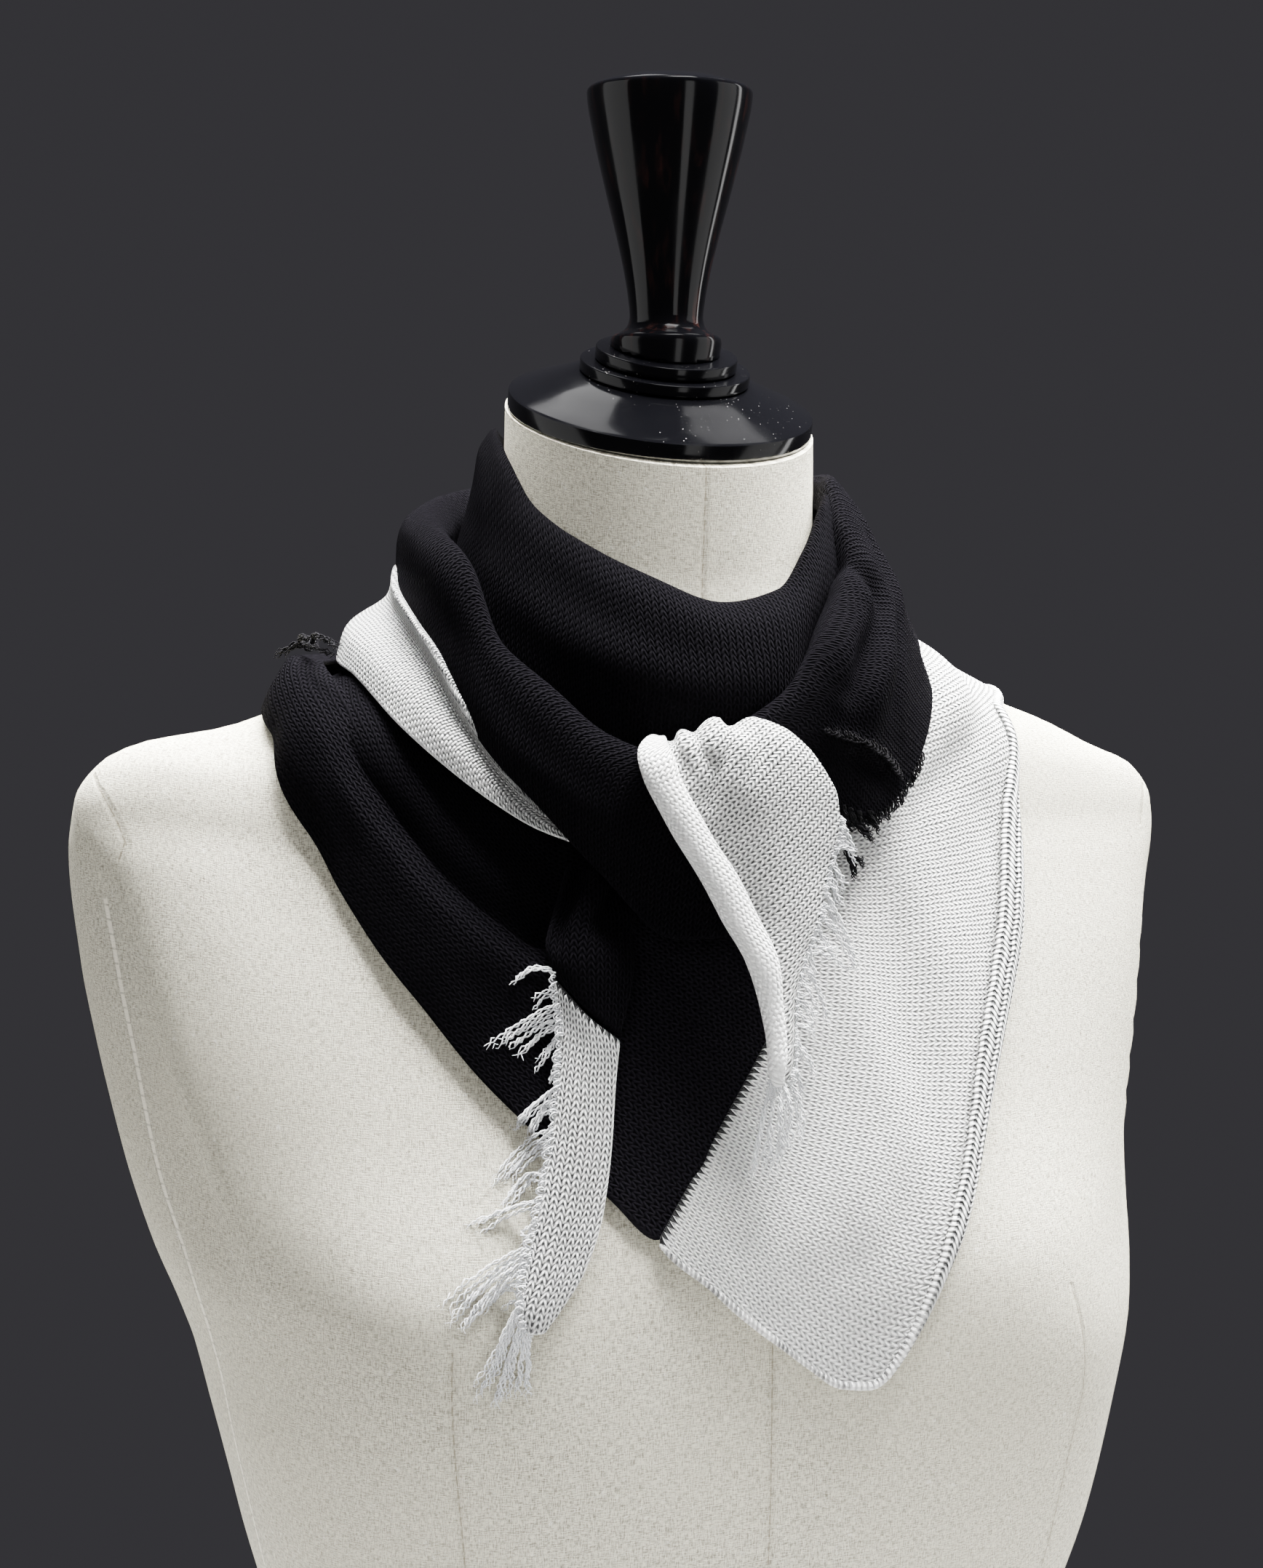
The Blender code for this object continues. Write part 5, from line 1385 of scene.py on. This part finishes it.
def clear_of(path, under, cling):
    """Push a path out of the pieces under it, or let it cling: settle down on them."""
    root_off = None
    moved = []
    for share, point in zip(np.linspace(0, 1, len(path)), path):
        wall = behind(under, point)
        from_axis = np.array([point[0], point[1] - NECK_Y])
        radius = np.linalg.norm(from_axis)
        from_axis /= radius
        if root_off is None:
            root_off = max(radius - wall, 0)
        if cling:
            radius = wall + YARN + root_off * (1 - share)**2
        from_axis *= max(radius, wall + YARN)
        moved.append((from_axis[0], from_axis[1] + NECK_Y, point[2]))
    return np.array(moved)


def yarn_path(knots):
    """A smooth path through three or more knots, with a point every millimetre or so."""
    knots = np.asarray(knots, float)
    length = np.linalg.norm(np.diff(knots, axis=0), axis=1).sum()
    run = np.linspace(0, len(knots) - 1, max(8, round(length / YARN_STEP)))
    order = np.arange(len(knots))
    return np.stack([smooth_through(order, knots[:, k], run) for k in range(3)], axis=-1)


def spun(path, chance, loose=1.0):
    """The plies of one yarn: twisted together, crinkled, and parting towards its tip by how loose
    it is."""
    steps = np.linalg.norm(np.diff(path, axis=0), axis=1)
    run = np.concatenate([[0], np.cumsum(steps)])
    share = run / run[-1]
    heading = np.gradient(path, axis=0)
    heading /= np.linalg.norm(heading, axis=1, keepdims=True)
    sideways = np.cross(heading, ASKEW)
    sideways /= np.linalg.norm(sideways, axis=1, keepdims=True)
    upward = np.cross(sideways, heading)
    start = Vector([chance.uniform(0, 90) for _ in range(3)])
    crinkle = np.array([noise.noise_vector(Vector((r / CRINKLE, 0, 0)) + start) for r in run])
    crinkle *= CRINKLE_SIZE
    plies = []
    for ply in range(PLIES):
        turn = 2 * math.pi * (ply / PLIES + run / TWIST)
        apart = PLIES_APART * YARN * (1 + loose * share**3)
        stray = np.array([noise.noise_vector(Vector((r / CRINKLE, 7 * ply + 3, 0)) + start)
                          for r in run])
        points = (path + crinkle
                  + stray * (loose * MM * (STRAY_ROOT + STRAY_TIP * share**2))[:, None]
                  + (apart * np.cos(turn))[:, None] * sideways
                  + (apart * np.sin(turn))[:, None] * upward)
        sizes = 1 - TAPER * loose * np.clip((share - TAPER_FROM) / (1 - TAPER_FROM), 0, 1)**1.5
        plies.append((points, sizes))
    return plies


def loose_yarns(rows, edge, away, under, cling, chance):
    """The plies of the yarns that hang out of a frayed edge."""
    plies = []
    for root, reach, fall, arch, yarns in rows:
        for k in range(yarns):
            high = root + YARNS_APART * (k - (yarns - 1) / 2)
            azimuth, radius = edge_point(edge, high)
            start, _, side = edge_frame(azimuth, high, radius, away)
            tip = start + side * reach * chance.uniform(*REACH_SPREAD)
            tip -= UPWARD * ((fall + chance.uniform(-FALL_STRAY, FALL_STRAY))
                             * chance.uniform(*FALL_SPREAD))
            lift = UPWARD * (arch + chance.uniform(-ARCH_STRAY, ARCH_STRAY))
            knots = (start - side * 1.2, start + (tip - start) * 0.3 + lift * 0.8,
                     start + (tip - start) * 0.66 + lift, tip)
            plies += spun(clear_of(yarn_path(knots), under, cling), chance)
    return plies


def looped(start, along, wide, out, length, width):
    """A loop of yarn with both its feet in the cloth."""
    knots = []
    for turn in np.linspace(0, math.pi, 9):
        knots.append(start - wide * (0.5 * width * math.cos(turn))
                     + along * (length * math.sin(turn)**0.8) + out * (0.5 * math.sin(turn)))
    return yarn_path(knots)


def pulled_loops(rows, edge, away, under, cling, chance):
    """Loops drawn out of a frayed edge, each row leaning its own way."""
    plies = []
    for root, length, width, lean, yarns in rows:
        for k in range(yarns):
            high = root + LOOPS_APART * k
            azimuth, radius = edge_point(edge, high)
            start, out, side = edge_frame(azimuth, high, radius, away)
            turn = math.radians(lean + 6 * k)
            along = side * math.sin(turn) - UPWARD * math.cos(turn)
            wide = side * math.cos(turn) + UPWARD * math.sin(turn)
            path = looped(start - side * 0.8, along, wide, out, length, width)
            plies += spun(clear_of(path, under, cling), chance, LOOP_LOOSE)
    return plies


def edge_knobs(edge, away, chance, pitch, heading=0, length=KNOB_LONG):
    """Small loops of the last stitches, all along an edge. The heading is how many degrees they
    point up from the side that they are on."""
    azimuths, heights, radii = (values[0] for values in cylinder(edge[None]))
    run = np.concatenate([[0], np.cumsum(np.linalg.norm(np.diff(edge, axis=0), axis=1))]) / MM
    plies = []
    for spot in np.arange(pitch / 2, run[-1] - pitch / 2, pitch):
        spot += chance.uniform(-0.4, 0.4)
        azimuth, high, radius = (float(np.interp(spot, run, values))
                                 for values in (azimuths, heights, radii))
        start, out, side = edge_frame(azimuth, high, radius, away)
        turn = math.radians(heading + chance.uniform(-KNOB_TILT, KNOB_TILT))
        along = side * math.cos(turn) + UPWARD * math.sin(turn)
        wide = UPWARD * math.cos(turn) - side * math.sin(turn)
        path = looped(start + out * 0.6 - along * 0.8, along, wide, out,
                      chance.uniform(*length), chance.uniform(*KNOB_WIDE))
        plies += spun(path, chance, LOOP_LOOSE)
    return plies


def tucked_point(azimuth, height, cloth):
    """The place on the cloth's face at this azimuth and height."""
    face = behind([cloth], place(azimuth, height, HANG_RADIUS))
    return place(azimuth, height, face / MM)


def tip_yarns(fringe, under, chance):
    """The yarns that the table leads through three places each."""
    plies = []
    for owner, yarns, *places in TIP_ROWS:
        if owner != fringe:
            continue
        for _ in range(yarns):
            knots = []
            for k, spot in enumerate(places):
                stray = np.array([chance.uniform(-1, 1) for _ in range(3)])
                knots.append(place(*spot) + stray * MM * (0.4 + 0.7 * k))
            plies += spun(clear_of(yarn_path(knots), under, False), chance)
    return plies


def yarn_piece(name, plies, finish, node):
    """One piece of all the plies, each a closed round thread."""
    deselect()
    bpy.ops.curve.primitive_nurbs_path_add()
    piece = bpy.context.object
    piece.name = piece.data.name = name
    curve = piece.data
    curve.splines.clear()
    for points, sizes in plies:
        thread = curve.splines.new("POLY")
        thread.points.add(len(points) - 1)
        weighted = np.column_stack([points, np.ones(len(points))])
        thread.points.foreach_set("co", weighted.reshape(-1))
        thread.points.foreach_set("radius", sizes)
    curve.bevel_depth = PLY
    curve.bevel_resolution = 1
    curve.use_fill_caps = True
    bpy.ops.object.convert(target="MESH")
    piece = bpy.context.object
    edit_all(piece, face_out)
    bpy.ops.object.shade_smooth()
    return dress(piece, finish, node)


def make_fringes(black, white, cover, cloth, edges):
    """The loose yarns of every frayed edge, one piece to each."""
    chance = random.Random(5)
    noise.seed_set(5)  # unseeded, the yarns' crinkle would differ from run to run
    left_edge, right_edge, ragged = edges
    under = [cover, cloth["bib_black"], cloth["bib_white"]]
    left = loose_yarns(LOOSE_LEFT_ROWS, left_edge, LEFT, under, True, chance)
    left += pulled_loops(LOOP_LEFT_ROWS, left_edge, LEFT, under, True, chance)
    left += edge_knobs(left_edge, LEFT, chance, pitch=2.2)
    under.append(cloth["wrap_right"])
    right = loose_yarns(LOOSE_RIGHT_ROWS, right_edge, RIGHT, under, False, chance)
    right += pulled_loops(LOOP_RIGHT_ROWS, right_edge, RIGHT, under, False, chance)
    right += edge_knobs(right_edge, RIGHT, chance, pitch=2.4)
    made = {"fringe_left": yarn_piece("loose_yarns_left", left, white, "fringe_left"),
            "fringe_right": yarn_piece("loose_yarns_right", right, white, "fringe_right")}
    tuck = np.array([tucked_point(azimuth, height, cloth["wrap_right"])
                     for azimuth, height in TUCK_LINE])
    knobs = edge_knobs(yarn_path(tuck), RIGHT, chance, pitch=1.9, heading=-70, length=(1.2, 2.6))
    knobs += edge_knobs(ragged, RIGHT, chance, pitch=1.7, heading=-80, length=(1.6, 4.2))
    for node, finish in (("fringe_end", white), ("fringe_black_right", black),
                         ("fringe_black_left", black)):
        plies = tip_yarns(node, under, chance)
        if node == "fringe_black_right":
            plies += knobs
        made[node] = yarn_piece(node.replace("fringe", "loose_yarns"), plies, finish, node)
    return made


def make_room():
    """A pale floor and soft, even light."""
    deselect()
    bpy.ops.mesh.primitive_circle_add(vertices=96, radius=FLOOR_RADIUS, fill_type="NGON",
                                      location=(0, 0, -FLOOR_BELOW))
    floor = bpy.context.object
    floor.name = "floor"
    floor.visible_glossy = False
    paint = Recipe("floor_paint")
    paint.set(base_color=FLOOR, roughness=0.9)
    floor.data.materials.append(paint.material)
    world = bpy.data.worlds.new("room")
    bpy.context.scene.world = world
    world.use_nodes = True
    glow = world.node_tree.nodes["Background"].inputs
    glow[0].default_value, glow[1].default_value = (*ROOM, 1), ROOM_STRENGTH
    for name, spot, wide, tall, power, gleams in LIGHT_ROWS:
        bpy.ops.object.light_add(type="AREA", location=spot)
        light = bpy.context.object
        light.name = light.data.name = name
        light.data.shape = "RECTANGLE"
        light.data.size, light.data.size_y = wide, tall
        light.data.energy = power
        light.visible_glossy = gleams
        aim = LIGHT_AIM - Vector(spot)
        light.rotation_mode = "QUATERNION"
        light.rotation_quaternion = aim.to_track_quat("-Z", "Y")


def make_camera():
    """The camera, by its azimuth, pitch and roll round the point that it looks at."""
    bpy.ops.object.camera_add()
    camera = bpy.context.object
    camera.name = "camera"
    level = Vector((math.sin(CAMERA_AZIMUTH), -math.cos(CAMERA_AZIMUTH), 0))
    right = Vector((math.cos(CAMERA_AZIMUTH), math.sin(CAMERA_AZIMUTH), 0))
    camera.location = CAMERA_AIM + level * CAMERA_BACK - right * CAMERA_LEFT
    back = level * math.cos(CAMERA_PITCH) + Vector((0, 0, math.sin(CAMERA_PITCH)))
    upward = back.cross(right)
    cos, sin = math.cos(CAMERA_ROLL), math.sin(CAMERA_ROLL)
    turn = Matrix((right * cos + upward * sin, upward * cos - right * sin, back)).transposed()
    camera.rotation_mode = "QUATERNION"
    camera.rotation_quaternion = turn.to_quaternion()
    camera.data.sensor_fit = "AUTO"
    camera.data.sensor_width = CAMERA_SENSOR
    camera.data.lens = CAMERA_LENS
    bpy.context.scene.camera = camera


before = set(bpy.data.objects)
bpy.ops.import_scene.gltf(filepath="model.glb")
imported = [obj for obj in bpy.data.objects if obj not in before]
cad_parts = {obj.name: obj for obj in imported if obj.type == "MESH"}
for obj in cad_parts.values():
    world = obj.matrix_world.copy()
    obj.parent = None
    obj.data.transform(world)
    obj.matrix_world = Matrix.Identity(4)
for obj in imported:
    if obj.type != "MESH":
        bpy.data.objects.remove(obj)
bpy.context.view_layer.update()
make_camera()
make_room()
cover = form_cover(linen())
neck_slant, knob_foot = make_cap(lacquer("cap_lacquer", dust=1.0))
make_knob(lacquer("knob_lacquer", streaks=1.0), neck_slant, knob_foot)
knitted, frayed_edges = make_scarf(black_knit(), white_knit())
black_yarn = yarn("yarn_black", BLACK, BLACK_GAP_SHADE, 0.03)
white_yarn = yarn("yarn_white", YARN_WHITE, YARN_SHADE, 0.3)
yarns = make_fringes(black_yarn, white_yarn, cover, knitted, frayed_edges)
